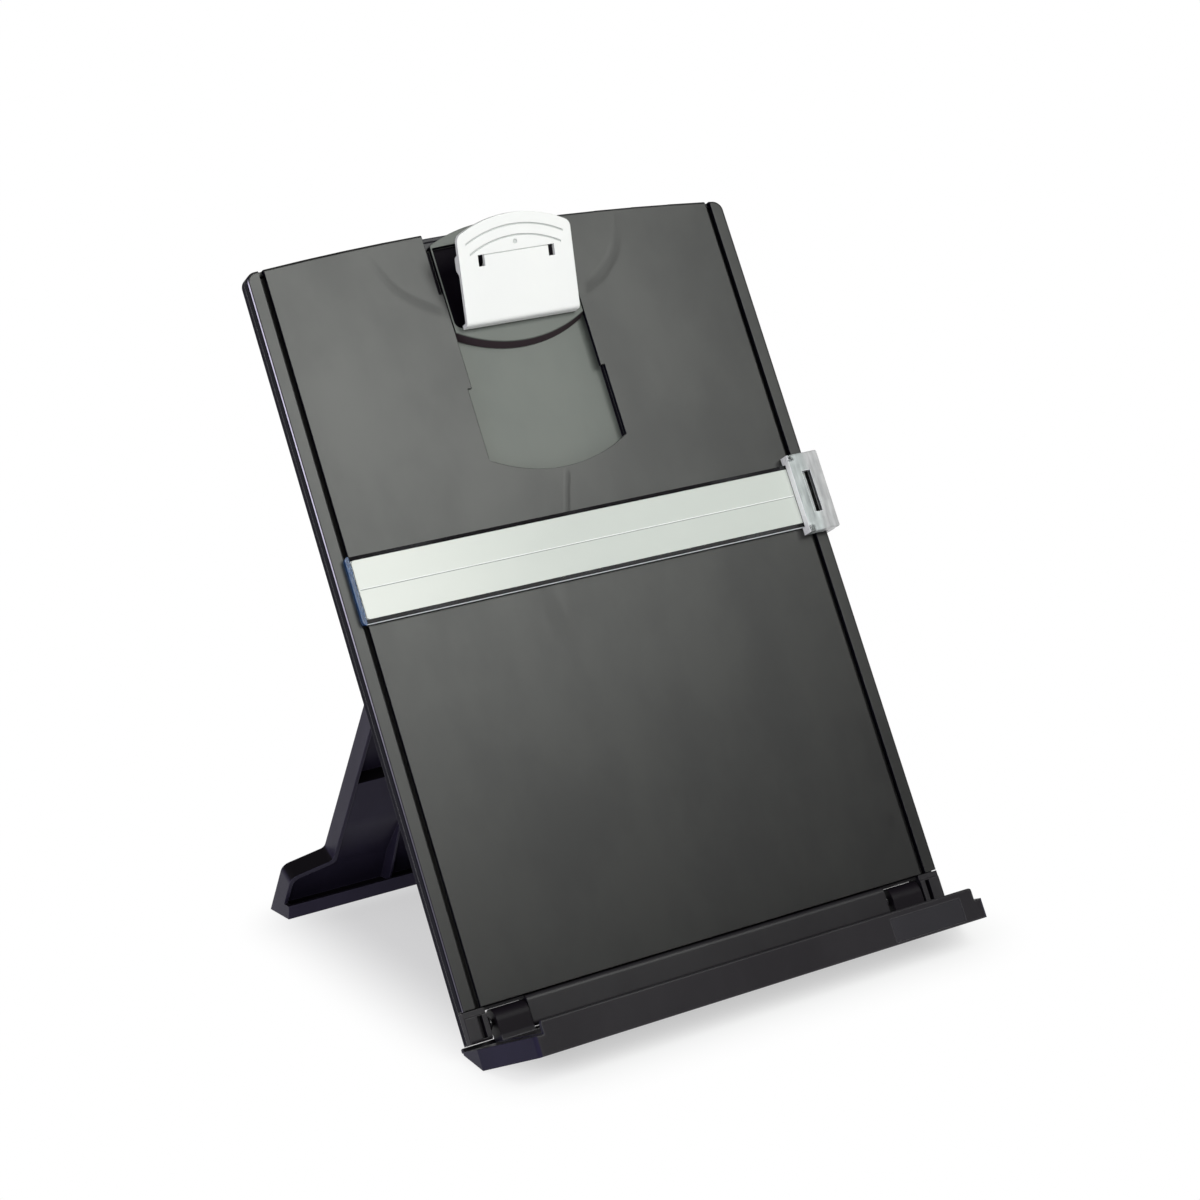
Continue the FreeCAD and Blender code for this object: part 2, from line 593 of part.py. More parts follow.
def clip_slider():
    """Short slider with side tongues, a deep hollow and two lugs for the lever's pin."""
    under = -CHANNEL_DEPTH + SLIDER_GAP
    half = SLIDER_HALF
    body = Part.makeLoft([slider_section(SLIDER_FLARE, under), slider_section(0.0, 0.0)], True, True)
    body = rounded(body, SLIDER_CORNER, lambda b: b.ZLength > -under / 2 and b.YMin > SLIDER_SIDE_TOP - 1.0)
    body = rounded(body, 0.3, lambda b: b.ZMin > -TINY)
    tongue_top = -LIP_THICKNESS - SLIDER_GAP
    tongue = CHANNEL_HALF - SLIDER_GAP
    wings = box(-tongue, tongue, SLIDER_SHOULDER, SLIDER_SIDE_TOP - TONGUE_INSET, under, tongue_top)
    body = joined([body, wings])
    floor = under + HOLLOW_FLOOR
    rim = half - HOLLOW_RIM
    hollow = face_plate(
        [(-rim, HOLLOW_LOW, HOLLOW_CORNER), (rim, HOLLOW_LOW, HOLLOW_CORNER), (rim, HOLLOW_HIGH),
         ("via", 0, HOLLOW_HIGH + HOLLOW_RISE), (-rim, HOLLOW_HIGH)], floor, 1.0)
    pocket = box(-BRAKE_LENGTH / 2 - 1, BRAKE_LENGTH / 2 + 1, BRAKE_Y - BRAKE_WIDTH / 2 - 0.2,
                 BRAKE_Y + BRAKE_WIDTH / 2 + 0.2, under - 1, under + BRAKE_POCKET)
    body = without(body, [hollow, pocket])
    lugs = []
    for side in (-1, 1):
        x0, x1 = sorted((side * LUG_X, side * (LUG_X + LUG_THICKNESS)))
        foot = side_plate(
            [(PIVOT_Y - LUG_HALF_LENGTH - 1.5, floor - 0.5), (PIVOT_Y + LUG_HALF_LENGTH + 1.5, floor - 0.5),
             (PIVOT_Y + LUG_RADIUS, PIVOT_Z), (PIVOT_Y - LUG_RADIUS, PIVOT_Z)], x0, x1)
        lugs += [foot, rod(LUG_RADIUS, x0, x1, PIVOT_Y, PIVOT_Z)]
    body = joined([body] + lugs)
    return without(body, [rod(PIVOT_PIN + PRESS_FIT, -half, half, PIVOT_Y, PIVOT_Z)])


def slider_brake():
    """Bowed leaf spring that presses on the channel floor."""
    under = -CHANNEL_DEPTH + SLIDER_GAP
    roof = under + BRAKE_POCKET
    half = BRAKE_LENGTH / 2
    belly = -CHANNEL_DEPTH + 0.02
    strip = outline(
        [(-half, roof - 0.05), ("via", 0, belly + BRAKE_THICKNESS), (half, roof - 0.05),
         (half, roof - 0.05 - BRAKE_THICKNESS), ("via", 0, belly), (-half, roof - 0.05 - BRAKE_THICKNESS)],
        plan_point, BRAKE_Y - BRAKE_WIDTH / 2)
    return strip.extrude(V(0, BRAKE_WIDTH, 0))


def plate_point(along, depth):
    """Board-frame (y, z) of a point up the lever's plate and behind its front face."""
    tilt = math.radians(LEVER_TILT)
    y = LEVER_FOOT + along * math.cos(tilt) + depth * math.sin(tilt)
    return y, LEVER_FOOT_Z + along * math.sin(tilt) - depth * math.cos(tilt)


def to_plate(shape):
    """Carry a shape drawn flat, with its front face at z = 0, onto the lever's plate."""
    placed = shape.copy()
    placed.Placement = FreeCAD.Placement(V(0, LEVER_FOOT, LEVER_FOOT_Z),
                                         FreeCAD.Rotation(V(1, 0, 0), LEVER_TILT)).multiply(placed.Placement)
    return placed


def clip_lever():
    """Tilted plate with a curled jaw, two pivot ears, side flanges, two windows and curved finger grooves."""
    back_foot = plate_point(0.0, LEVER_THICKNESS)
    jaw_inner = LEVER_FOOT + JAW_WALL
    slope = math.tan(math.radians(LEVER_TILT))
    inner_corner = (jaw_inner, back_foot[1] + (jaw_inner - back_foot[0]) * slope)
    section = side_plate(
        [(LEVER_FOOT, JAW_GAP), (LEVER_FOOT, LEVER_FOOT_Z, LEVER_BEND), plate_point(LEVER_CROWN + 2.0, 0.0),
         plate_point(LEVER_CROWN + 2.0, LEVER_THICKNESS), (inner_corner[0], inner_corner[1], 0.6),
         (jaw_inner, JAW_GAP)], -LEVER_HALF, LEVER_HALF)
    outline_flat = face_plate(
        [(-LEVER_HALF, -12.0), (LEVER_HALF, -12.0), (LEVER_HALF, LEVER_SIDE), ("via", 0, LEVER_CROWN),
         (-LEVER_HALF, LEVER_SIDE)], -20.0, 5.0)
    outline_flat = rounded(outline_flat, LEVER_CORNER, lambda b: b.ZLength > 10 and b.YMin > LEVER_SIDE - 1.0)
    plate = section.common(to_plate(outline_flat))
    extras = []
    for side in (-1, 1):
        x0, x1 = sorted((side * EAR_X, side * (EAR_X + EAR_THICKNESS)))
        depth = LEVER_THICKNESS - 0.5
        ear = side_plate(
            [plate_point(14.0, depth), plate_point(31.0, depth), (PIVOT_Y + EAR_RADIUS * 0.9, PIVOT_Z - 1.0),
             (PIVOT_Y - EAR_RADIUS * 0.9, PIVOT_Z - 1.0)], x0, x1)
        extras += [ear, rod(EAR_RADIUS, x0, x1, PIVOT_Y, PIVOT_Z)]
        f0, f1 = sorted((side * LEVER_HALF, side * (LEVER_HALF - FLANGE_THICKNESS)))
        rear = LEVER_THICKNESS + FLANGE_DEPTH
        extras.append(side_plate(
            [plate_point(FLANGE_LOW, depth), plate_point(FLANGE_HIGH, depth),
             plate_point(FLANGE_HIGH - 1.5, rear) + (1.5,), plate_point(FLANGE_LOW + 2.5, rear) + (1.5,)], f0, f1))
    plate = joined([plate] + extras)
    cuts = [rod(PIVOT_PIN + PIN_FIT, -LEVER_HALF, LEVER_HALF, PIVOT_Y, PIVOT_Z)]
    for side in (-1, 1):
        centre = side * WINDOW_X
        cuts.append(to_plate(box(centre - WINDOW_WIDTH / 2, centre + WINDOW_WIDTH / 2, WINDOW_LOW,
                                 WINDOW_LOW + WINDOW_LENGTH, -LEVER_THICKNESS - 0.2, 1.0)))
    seam = WINDOW_LOW + WINDOW_LENGTH
    cuts.append(to_plate(box(-WINDOW_X, WINDOW_X, seam - SEAM_WIDTH, seam, -SEAM_DEPTH, 1.0)))
    cuts.append(to_plate(post(GATE_RADIUS, 0.0, seam + GATE_RISE, -GATE_DEPTH, 1.0)))
    radius = (LEVER_HALF ** 2 + LEVER_RISE ** 2) / (2 * LEVER_RISE)
    for step in (1, 2):
        outer = radius - step * GROOVE_ARC_PITCH
        centre = V(0, LEVER_CROWN - radius, -GROOVE_ARC_DEPTH)
        ring = Part.makeCylinder(outer, 2.0, centre).cut(Part.makeCylinder(outer - GROOVE_ARC_WIDTH, 2.0, centre))
        half = LEVER_HALF - GROOVE_ARC_END - 1.5 * step
        cuts.append(to_plate(ring.common(box(-half, half, 0.0, REACH, -1.0, 2.0))))
    return without(plate, cuts)


def clip_pin():
    """Steel pin through the slider's lugs and the lever's ears."""
    end = LUG_X + LUG_THICKNESS + 0.6
    return rod(PIVOT_PIN, -end, end, PIVOT_Y, PIVOT_Z)


def spring_leg(x, z, slope):
    """Straight end of the torsion spring, tangent to the coil at height z and rising at the slope."""
    rise = math.radians(slope)
    start = V(x, PIVOT_Y, PIVOT_Z + z)
    return Part.makeCylinder(COIL_WIRE / 2, SPRING_LEG, start, V(0, math.cos(rise), math.sin(rise)))


def clip_spring():
    """Torsion spring round the pin, drawn in its pressed shape: one leg under the plate, one on the slider."""
    length = COIL_TURNS * COIL_PITCH
    helix = Part.makeHelix(COIL_PITCH, length, COIL_RADIUS)
    section = Part.Wire([Part.makeCircle(COIL_WIRE / 2, V(COIL_RADIUS, 0, 0), V(0, 1, 0))])
    coil = Part.Wire(helix).makePipeShell([section], True, True)
    across = FreeCAD.Rotation(V(1, 0, 0), 180).multiply(FreeCAD.Rotation(V(0, 0, 1), V(1, 0, 0)))
    coil.Placement = FreeCAD.Placement(V(-length / 2, PIVOT_Y, PIVOT_Z), across)
    legs = [spring_leg(-length / 2, COIL_RADIUS, SPRING_RISE), spring_leg(length / 2, -COIL_RADIUS, -SPRING_FALL)]
    return coil.fuse(legs)


# ---- The line guide --------------------------------------------------------------------------------------------
def guide_levels():
    """Heights of the bar's back and front faces."""
    return GUIDE_GAP, GUIDE_GAP + GUIDE_THICKNESS


def guide_span(height):
    """Lowest and highest y of something that tall, centred on the guide."""
    return GUIDE_Y - height / 2, GUIDE_Y + height / 2


def guide_bar():
    """Clear flat bar across the page."""
    low, high = guide_span(GUIDE_HEIGHT)
    back, front = guide_levels()
    return side_plate([(low, back), (high, back), (high, front - BAR_BEVEL), (high - BAR_SLOPE, front),
                       (low + BAR_SLOPE, front), (low, front - BAR_BEVEL)], -GUIDE_LEFT, GUIDE_RIGHT)


def guide_film():
    """Frosted film on the front of the bar, split by the fine reading line."""
    low, high = guide_span(GUIDE_HEIGHT - 2 * FILM_MARGIN)
    front = guide_levels()[1]
    film = face_plate([(-FILM_LEFT, low, 1.5), (FILM_RIGHT, low), (FILM_RIGHT, high), (-FILM_LEFT, high, 1.5)],
                      front, front + FILM_THICKNESS)
    line = box(-FILM_LEFT - 1, FILM_RIGHT + 1, GUIDE_Y - FILM_LINE / 2, GUIDE_Y + FILM_LINE / 2, front + FILM_THICKNESS / 2, REACH)
    return without(film, [line])


def groove_foot(centre, low, high, top):
    """T-shaped foot that runs in a guide groove."""
    neck = GROOVE_WIDTH / 2 - RUNNER_FIT
    wide = neck + GROOVE_UNDERCUT
    shelf = -GROOVE_NECK - RUNNER_FIT
    return [box(centre - neck, centre + neck, low, high, shelf - 0.5, top),
            box(centre - wide, centre + wide, low, high, -GROOVE_DEPTH + RUNNER_FIT, shelf)]


def guide_runner():
    """Clear end piece in the left groove, with two half-round snap studs."""
    low, high = guide_span(GUIDE_HEIGHT)
    back, front = guide_levels()
    inner = -GUIDE_LEFT - 0.05
    cap = face_plate([(-RUNNER_END, low, RUNNER_CORNER), (inner, low), (inner, high),
                      (-RUNNER_END, high, RUNNER_CORNER)], back, front)
    foot = groove_foot(-GROOVE_CENTRE, low + 1.0, high - 1.0, back + 0.5)
    studs = [post(RUNNER_STUD, inner, GUIDE_Y + side * STUD_SPACING / 2, front - 0.5, front + 0.5)
             for side in (-1, 1)]
    bar_space = box(inner, 0.0, low - 1, high + 1, back - 0.05, REACH)
    return without(joined([cap] + foot + studs), [bar_space])


def guide_clamp():
    """Clear C-shaped block round the right edge of the board, holding the end of the bar."""
    low, high = guide_span(CLAMP_HEIGHT)
    back, front = guide_levels()
    wall_x = BOARD_HALF + CLAMP_SIDE_GAP
    rear = -BOARD_DEPTH - CLAMP_BACK_GAP
    under = CLAMP_TOP - CLAMP_PLATE
    block = box(CLAMP_LEFT, CLAMP_RIGHT, low, high, back, CLAMP_TOP)
    block = rounded(block, 0.8, lambda b: b.ZMin > CLAMP_TOP - TINY or (b.ZLength > under and b.XMin > wall_x))
    wall = box(wall_x, CLAMP_RIGHT, low, high, rear - CLAMP_HOOK, back + 1.0)
    hook = box(wall_x - CLAMP_HOOK_REACH, CLAMP_RIGHT, low, high, rear - CLAMP_HOOK, rear)
    foot = groove_foot(GROOVE_CENTRE, low + 1.0, high - 1.0, back + 0.5)
    body = joined([block, wall, hook] + foot)
    bar_low, bar_high = guide_span(GUIDE_HEIGHT + 0.1)
    inner_low, inner_high = guide_span(CLAMP_HEIGHT - 2 * CLAMP_TAB)
    window_low, window_high = guide_span(CLAMP_WINDOW_LENGTH)
    leaf_low, leaf_high = guide_span(LEAF_LENGTH + 1.0)
    leaf_mid = -BOARD_DEPTH / 2
    cuts = [
        box(CLAMP_LEFT - 1, GUIDE_RIGHT + 0.05, bar_low, bar_high, back - 1, front + FILM_THICKNESS + 0.05),
        box(GROOVE_CENTRE + GROOVE_WIDTH, wall_x, inner_low, inner_high, back - 1, under),
        box(CLAMP_WINDOW_X - CLAMP_WINDOW / 2, CLAMP_WINDOW_X + CLAMP_WINDOW / 2, window_low, window_high,
            under - 1, CLAMP_TOP + 1),
        box(wall_x - 1, wall_x + LEAF_POCKET, leaf_low, leaf_high, leaf_mid - LEAF_WIDTH / 2 - 0.2,
            leaf_mid + LEAF_WIDTH / 2 + 0.2),
    ]
    return without(body, cuts)


def guide_brake():
    """Bowed leaf spring in the clamp that presses on the edge of the board."""
    low, high = guide_span(LEAF_LENGTH)
    back = BOARD_HALF + CLAMP_SIDE_GAP + LEAF_POCKET - 0.05
    belly = BOARD_HALF + 0.05
    strip = outline(
        [(back, low), ("via", belly + LEAF_THICKNESS, GUIDE_Y), (back, high), (back - LEAF_THICKNESS, high),
         ("via", belly, GUIDE_Y), (back - LEAF_THICKNESS, low)], face_point, -BOARD_DEPTH / 2 - LEAF_WIDTH / 2)
    return strip.extrude(V(0, 0, LEAF_WIDTH))


# ---- The ledge -------------------------------------------------------------------------------------------------
def facet_y(z, height):
    """y of the plane at that height above the desk, at a depth z."""
    return GROUND_AT_FACE + height / LEAN_COS - z * LEAN_SIN / LEAN_COS


def tray_top(z):
    """y of the tray's rim at a depth z."""
    return TRAY_TOP_REAR + (TRAY_TOP_FRONT - TRAY_TOP_REAR) * (z - TRAY_REAR) / (TRAY_FRONT - TRAY_REAR)


def tray_under(z):
    """y of the tray's underside in front of its feet, at a depth z."""
    return TRAY_UNDER_FRONT + (TRAY_FRONT - z) * TRAY_UNDER_SLOPE


def tray_plan(inset):
    """Tray seen from above: straight at the rear, tapered to the lip."""
    knee = BOARD_HALF - inset
    front_half = TRAY_FRONT_HALF - inset
    corner = max(TRAY_CORNER - inset, 0.8)
    rear, front = TRAY_REAR - 1.0, TRAY_FRONT - inset
    return [(-knee, rear), (knee, rear), (knee, TRAY_KNEE), (front_half, front, corner),
            (-front_half, front, corner), (-knee, TRAY_KNEE)]


def ledge_tray():
    """Paper ledge: hollow tray with a raised floor, a lip with stepped ends, solid rear feet and two knuckles."""
    knee_y = facet_y(TRAY_KNEE, PAD_PROUD)
    profile = [(tray_top(TRAY_REAR), TRAY_REAR, TRAY_NOSE), (tray_top(TRAY_FRONT), TRAY_FRONT, 0.6),
               (tray_under(TRAY_FRONT), TRAY_FRONT, 0.6), (knee_y, TRAY_KNEE, 1.0)]
    tray = side_plate(profile, -BOARD_HALF - 1, BOARD_HALF + 1)
    tray = tray.common(plan_plate(tray_plan(0.0), -40.0, 0.0))
    wall = TRAY_WALL
    roof_rear, roof_front = tray_top(TRAY_KNEE) - wall, tray_top(TRAY_FRONT - wall) - wall
    front_hollow = side_plate([(roof_rear, TRAY_KNEE), (roof_front, TRAY_FRONT), (-REACH, TRAY_FRONT),
                               (-REACH, TRAY_KNEE)], -BOARD_HALF, BOARD_HALF)
    front_hollow = front_hollow.common(plan_plate(tray_plan(wall), -REACH, 0.0))
    rear_half = BOARD_HALF - FOOT_BLOCK
    rear_hollow = side_plate([(tray_top(TRAY_REAR + wall) - wall, TRAY_REAR + wall), (roof_rear, TRAY_KNEE + TINY),
                              (-REACH, TRAY_KNEE + TINY), (-REACH, TRAY_REAR + wall)], -rear_half, rear_half)
    tray = without(tray, [front_hollow, rear_hollow])
    floor = side_plate([(tray_top(FLOOR_REAR) + FLOOR_RISE, FLOOR_REAR), (tray_top(TRAY_FRONT - 1) + FLOOR_RISE,
                        TRAY_FRONT - 1.0), (tray_top(TRAY_FRONT - 1) - 0.5, TRAY_FRONT - 1.0),
                        (tray_top(FLOOR_REAR) - 0.5, FLOOR_REAR)], -FLOOR_HALF, FLOOR_HALF)
    lip = side_plate([(tray_top(TRAY_FRONT) - 0.5, TRAY_FRONT - LIP_WALL), (LIP_TOP, TRAY_FRONT - LIP_WALL, 0.6),
                      (LIP_TOP, TRAY_FRONT, 0.8), (tray_top(TRAY_FRONT) - 1.5, TRAY_FRONT)],
                     -FLOOR_HALF, FLOOR_HALF)
    lip = lip.common(face_plate([(-FLOOR_HALF, -REACH), (FLOOR_HALF, -REACH), (FLOOR_HALF, LIP_TOP, LIP_CORNER),
                                 (-FLOOR_HALF, LIP_TOP, LIP_CORNER)], 0.0, REACH))
    rim_rear = STOP_RIM_Z - STOP_RIM
    rim_top = -BOARD_FOOT - STOP_RIM_GAP
    rim = side_plate([(tray_top(rim_rear) - 0.5, rim_rear), (rim_top - STOP_RIM / 4, rim_rear, 0.4),
                      (rim_top, STOP_RIM_Z, 0.4), (tray_top(STOP_RIM_Z) - 0.5, STOP_RIM_Z)],
                     -BOARD_HALF, BOARD_HALF)
    pieces = [tray, floor, lip, rim]
    for x in TRAY_RIB_X:
        rib = side_plate([(roof_rear + 0.2, TRAY_KNEE - wall), (roof_front + 0.2, TRAY_FRONT - wall / 2),
                          (roof_front - 5.0, TRAY_FRONT - wall / 2), (roof_rear - 5.0, TRAY_KNEE - wall)],
                         x - RIB / 2, x + RIB / 2)
        pieces.append(rib)
    arm_front, arm_rear = HINGE_Z + KNUCKLE_RADIUS, HINGE_Z - KNUCKLE_RADIUS / 2
    for x0, x1 in (KNUCKLE_LEFT, KNUCKLE_RIGHT):
        arm = box(x0, x1, tray_top(0.0) - 0.5, HINGE_Y, arm_rear, arm_front)
        pieces += [arm, rod(KNUCKLE_RADIUS, x0, x1, HINGE_Y, HINGE_Z)]
    tray = joined(pieces)
    cuts = [rod(LEDGE_PIN + PIN_FIT, x0 - 1, x1 + 1, HINGE_Y, HINGE_Z) for x0, x1 in (KNUCKLE_LEFT, KNUCKLE_RIGHT)]
    cuts.append(box(LABEL_LEFT, LABEL_LEFT + LABEL_WIDTH, LABEL_LOW, LABEL_LOW + LABEL_HEIGHT,
                    TRAY_FRONT - LABEL_THICKNESS, TRAY_FRONT + 1))
    cuts += [pad_block(side, 0.05) for side in (-1, 1)]
    return without(tray, cuts)


def pad_block(side, spare):
    """Rubber pad let into a rear foot of the tray; spare makes the recess a little larger."""
    half = TRAY_KNEE - TRAY_REAR
    rear = TRAY_REAR + half * 0.3
    front = TRAY_KNEE - PAD_MARGIN / 2
    bottom = 0.0 if spare == 0.0 else -1.0
    low = [(facet_y(rear, bottom), rear), (facet_y(front, bottom), front)]
    top = [(facet_y(front, PAD_THICKNESS + spare), front), (facet_y(rear, PAD_THICKNESS + spare), rear)]
    outer = BOARD_HALF - PAD_MARGIN + spare
    inner = outer - PAD_WIDTH - 2 * spare
    x0, x1 = sorted((side * inner, side * outer))
    points = [(y, z + (spare if index in (1, 2) else -spare)) for index, (y, z) in enumerate(low + top)]
    return side_plate(points, x0, x1)


def ledge_feet():
    """Two rubber pads under the ledge."""
    return Part.makeCompound([pad_block(side, 0.0) for side in (-1, 1)])


def label_plate():
    """Bare plate let into the lip."""
    gap = 0.05
    return box(LABEL_LEFT + gap, LABEL_LEFT + LABEL_WIDTH - gap, LABEL_LOW + gap, LABEL_LOW + LABEL_HEIGHT - gap,
               TRAY_FRONT - LABEL_THICKNESS + 0.02, TRAY_FRONT - 0.05)


def ledge_pins():
    """Two steel pins, fixed in the bottom rail."""
    pins = [rod(LEDGE_PIN, x0 - LEDGE_PIN_GRIP + 0.1, x1 + LEDGE_PIN_GRIP - 0.1, HINGE_Y, HINGE_Z)
            for x0, x1 in hinge_pockets()]
    return Part.makeCompound(pins)


def ledge_washers():
    """A spring washer at the left of each knuckle, made of two dished rings back to back."""
    rings = []
    for (pocket, _), (knuckle, _) in zip(hinge_pockets(), (KNUCKLE_LEFT, KNUCKLE_RIGHT)):
        middle = (pocket + knuckle) / 2
        reach = (knuckle - pocket) / 2 - 0.05
        bore, edge = LEDGE_PIN + 0.1, WASHER_RADIUS
        sheet = WASHER_WIRE
        section = Part.Face(Part.makePolygon([
            V(middle - reach, HINGE_Y + bore, HINGE_Z), V(middle - reach + sheet, HINGE_Y + bore, HINGE_Z),
            V(middle, HINGE_Y + edge - sheet, HINGE_Z), V(middle + reach - sheet, HINGE_Y + bore, HINGE_Z),
            V(middle + reach, HINGE_Y + bore, HINGE_Z), V(middle, HINGE_Y + edge, HINGE_Z),
            V(middle - reach, HINGE_Y + bore, HINGE_Z)]))
        rings.append(section.revolve(V(0, HINGE_Y, HINGE_Z), V(1, 0, 0), 360))
    return Part.makeCompound(rings)


# ---- The leg ---------------------------------------------------------------------------------------------------
def leg_axis():
    """Board-frame (y, z) of the leg's hinge."""
    return LEG_HINGE_Y, -BOARD_DEPTH - LEG_HINGE_GAP


def leg_frame():
    """Angle between the leg's rear plane and the board, and the leg's length down to the sole's rear edge."""
    hinge_y, hinge_z = leg_axis()
    rear_y, rear_z = desk_point(SOLE_REAR, PAD_PROUD)
    down, back = hinge_y - rear_y, hinge_z - rear_z
    distance = math.hypot(down, back)
    swing = math.degrees(math.atan2(back, down) - math.asin(LEG_SKIN_BEHIND / distance))
    return swing, math.sqrt(distance ** 2 - LEG_SKIN_BEHIND ** 2)


def to_leg(shape):
    """Carry a shape drawn with the hinge axis at the origin and the leg's rear plane upright onto the open leg."""
    swing = leg_frame()[0]
    hinge_y, hinge_z = leg_axis()
    placed = shape.copy()
    placed.Placement = FreeCAD.Placement(V(0, hinge_y, hinge_z),
                                         FreeCAD.Rotation(V(1, 0, 0), swing)).multiply(placed.Placement)
    return placed


def leg_plan(length, inset):
    """Leg seen from the front, from its hinge down to the level of the sole."""
    top, ankle, toe, sole = (LEG_TOP_HALF - inset, LEG_ANKLE_HALF - inset, LEG_TOE_HALF - inset,
                             LEG_SOLE_HALF - inset)
    low = -length
    right = [(top, 0.0), (top, -LEG_SHOULDER), (ankle, low + LEG_ANKLE - inset, 3.0),
             (toe, low + LEG_TOE - inset, LEG_TOE_CORNER), (sole, low)]
    return right + [(-point[0],) + tuple(point[1:]) for point in reversed(right)]


def leg():
    """Ribbed leg: perimeter walls, one skin that steps between front and back, ribs, flared feet and a sole."""
    length = leg_frame()[1]
    rear, front = -LEG_SKIN_BEHIND, -LEG_SKIN_BEHIND + LEG_DEPTH
    walls = face_plate(leg_plan(length, 0.0), rear, front)
    walls = walls.cut(face_plate(leg_plan(length + 5.0, LEG_WALL), rear - 1, front + 1).translate(V(0, 5.0, 0)))
    skin = LEG_SKIN
    step = -length + LEG_WINDOW
    low = -length
    top = -LEG_BARREL / 2
    front_side = [(top, front - 0.6), (step + skin / 2 + 2.0, rear + skin), (step + skin / 2, rear + skin),
                  (step + skin / 2, front - 0.3), (low + 50.0, front - 0.3, 30.0), (low + 22.0, rear + skin + 0.6, 18.0),
                  (low, rear + skin)]
    back_side = [(low, rear), (low + 21.0, rear, 18.0), (low + 49.0, front - 0.3 - skin, 30.0),
                 (step - skin / 2, front - 0.3 - skin), (step - skin / 2, rear), (step + 2.0, rear),
                 (top, front - 0.6 - skin)]
    sheet = side_plate(front_side + back_side, -LEG_SOLE_HALF, LEG_SOLE_HALF)
    inside = face_plate(leg_plan(length, LEG_WALL / 2), rear - 1, front + 1)
    sheet = sheet.common(inside)
    pieces = [walls, sheet]
    for x in LEG_RIB_X:
        lean_in = LEG_RIB_LEAN if x > 0 else -LEG_RIB_LEAN
        rib = face_plate([(x - RIB / 2, low + 1.0), (x + RIB / 2, low + 1.0),
                          (x - lean_in + RIB / 2, low + LEG_RIB_TOP), (x - lean_in - RIB / 2, low + LEG_RIB_TOP)],
                         rear + skin / 2, front - 0.4)
        pieces.append(rib)
    for side in (-1, 1):
        pieces.append(box(side * LEG_TOP_HALF * 0.45 - RIB / 2, side * LEG_TOP_HALF * 0.45 + RIB / 2,
                          step, top, rear, front - 1.0).common(inside))
    body = to_leg(joined(pieces))
    sole_rear, sole_front = desk_point(SOLE_REAR, PAD_PROUD), desk_point(SOLE_REAR - SOLE_LENGTH, PAD_PROUD)
    lip_front = desk_point(SOLE_REAR - SOLE_LENGTH, PAD_PROUD + SOLE_LIP)
    lip_back = desk_point(SOLE_REAR - SOLE_LENGTH + LEG_WALL, PAD_PROUD + SOLE_LIP)
    lip_root = desk_point(SOLE_REAR - SOLE_LENGTH + LEG_WALL, PAD_PROUD + SOLE_THICKNESS)
    rise_rear = desk_point(SOLE_REAR - 1.0, PAD_PROUD + SOLE_THICKNESS)
    sole = side_plate([sole_rear, sole_front, lip_front, lip_back, lip_root, rise_rear], -REACH, REACH)
    hull = face_plate(leg_plan(length, 0.0), rear, front + SOLE_LENGTH)
    hollow = face_plate(leg_plan(length + 5.0, LEG_WALL), rear - 1, front + SOLE_LENGTH + 1)
    flanks = to_leg(hull.cut(hollow.translate(V(0, 5.0, 0))))
    flank_rear = desk_point(SOLE_REAR - SOLE_LENGTH / 2, PAD_PROUD + SOLE_LIP)
    flanks = flanks.common(side_plate([sole_rear, sole_front, lip_front, flank_rear], -REACH, REACH))
    sole = sole.common(to_leg(hull))
    hinge_y, hinge_z = leg_axis()
    heel = box(-LEG_TOP_HALF, LEG_TOP_HALF, hinge_y, hinge_y + LEG_HEEL, hinge_z, -BOARD_DEPTH - 0.2)
    barrel = joined([rod(LEG_BARREL, -LEG_TOP_HALF, LEG_TOP_HALF, hinge_y, hinge_z), heel])
    below = desk_slab(PAD_PROUD)
    body = without(joined([body, sole, flanks, barrel]), [below])
    cuts = [rod(LEG_PIN + PIN_FIT, -REACH, REACH, hinge_y, hinge_z)]
    for side in (-1, 1):
        x0, x1 = sorted((side * (LEG_TOP_HALF - BUSH_LENGTH), side * (LEG_TOP_HALF + 1)))
        cuts.append(rod(BUSH_RADIUS + PRESS_FIT, x0, x1, hinge_y, hinge_z))
        cuts.append(sole_pad(side, 0.05))
    return without(body, cuts)


def desk_slab(height):
    """Everything below a level above the desk, behind the board."""
    far, near = SOLE_REAR + 3 * SOLE_LENGTH, SOLE_REAR - 5 * SOLE_LENGTH
    return side_plate([desk_point(near, height), desk_point(far, height), desk_point(far, height - 3 * SOLE_LENGTH),
                       desk_point(near, height - 3 * SOLE_LENGTH)], -REACH, REACH)


def sole_pad(side, spare):
    """Rubber pad let into the sole at one end; spare makes the recess a little larger."""
    near, far = SOLE_REAR - SOLE_LENGTH + PAD_MARGIN - spare, SOLE_REAR - PAD_MARGIN + spare
    bottom = 0.0 if spare == 0.0 else -1.0
    top = PAD_THICKNESS + spare
    x0, x1 = sorted((side * (LEG_SOLE_HALF - 2 * PAD_MARGIN + spare),
                     side * (LEG_SOLE_HALF - 2 * PAD_MARGIN - 1.5 * PAD_WIDTH - spare)))
    return side_plate([desk_point(near, bottom), desk_point(far, bottom), desk_point(far, top),
                       desk_point(near, top)], x0, x1)


def leg_feet():
    """Two rubber pads under the leg."""
    return Part.makeCompound([sole_pad(side, 0.0) for side in (-1, 1)])


def leg_pin():
    """Steel pin of the leg, held in the ears of the back cover."""
    hinge_y, hinge_z = leg_axis()
    end = EAR_INNER + EAR_WALL + 0.5
    return rod(LEG_PIN, -end, end, hinge_y, hinge_z)


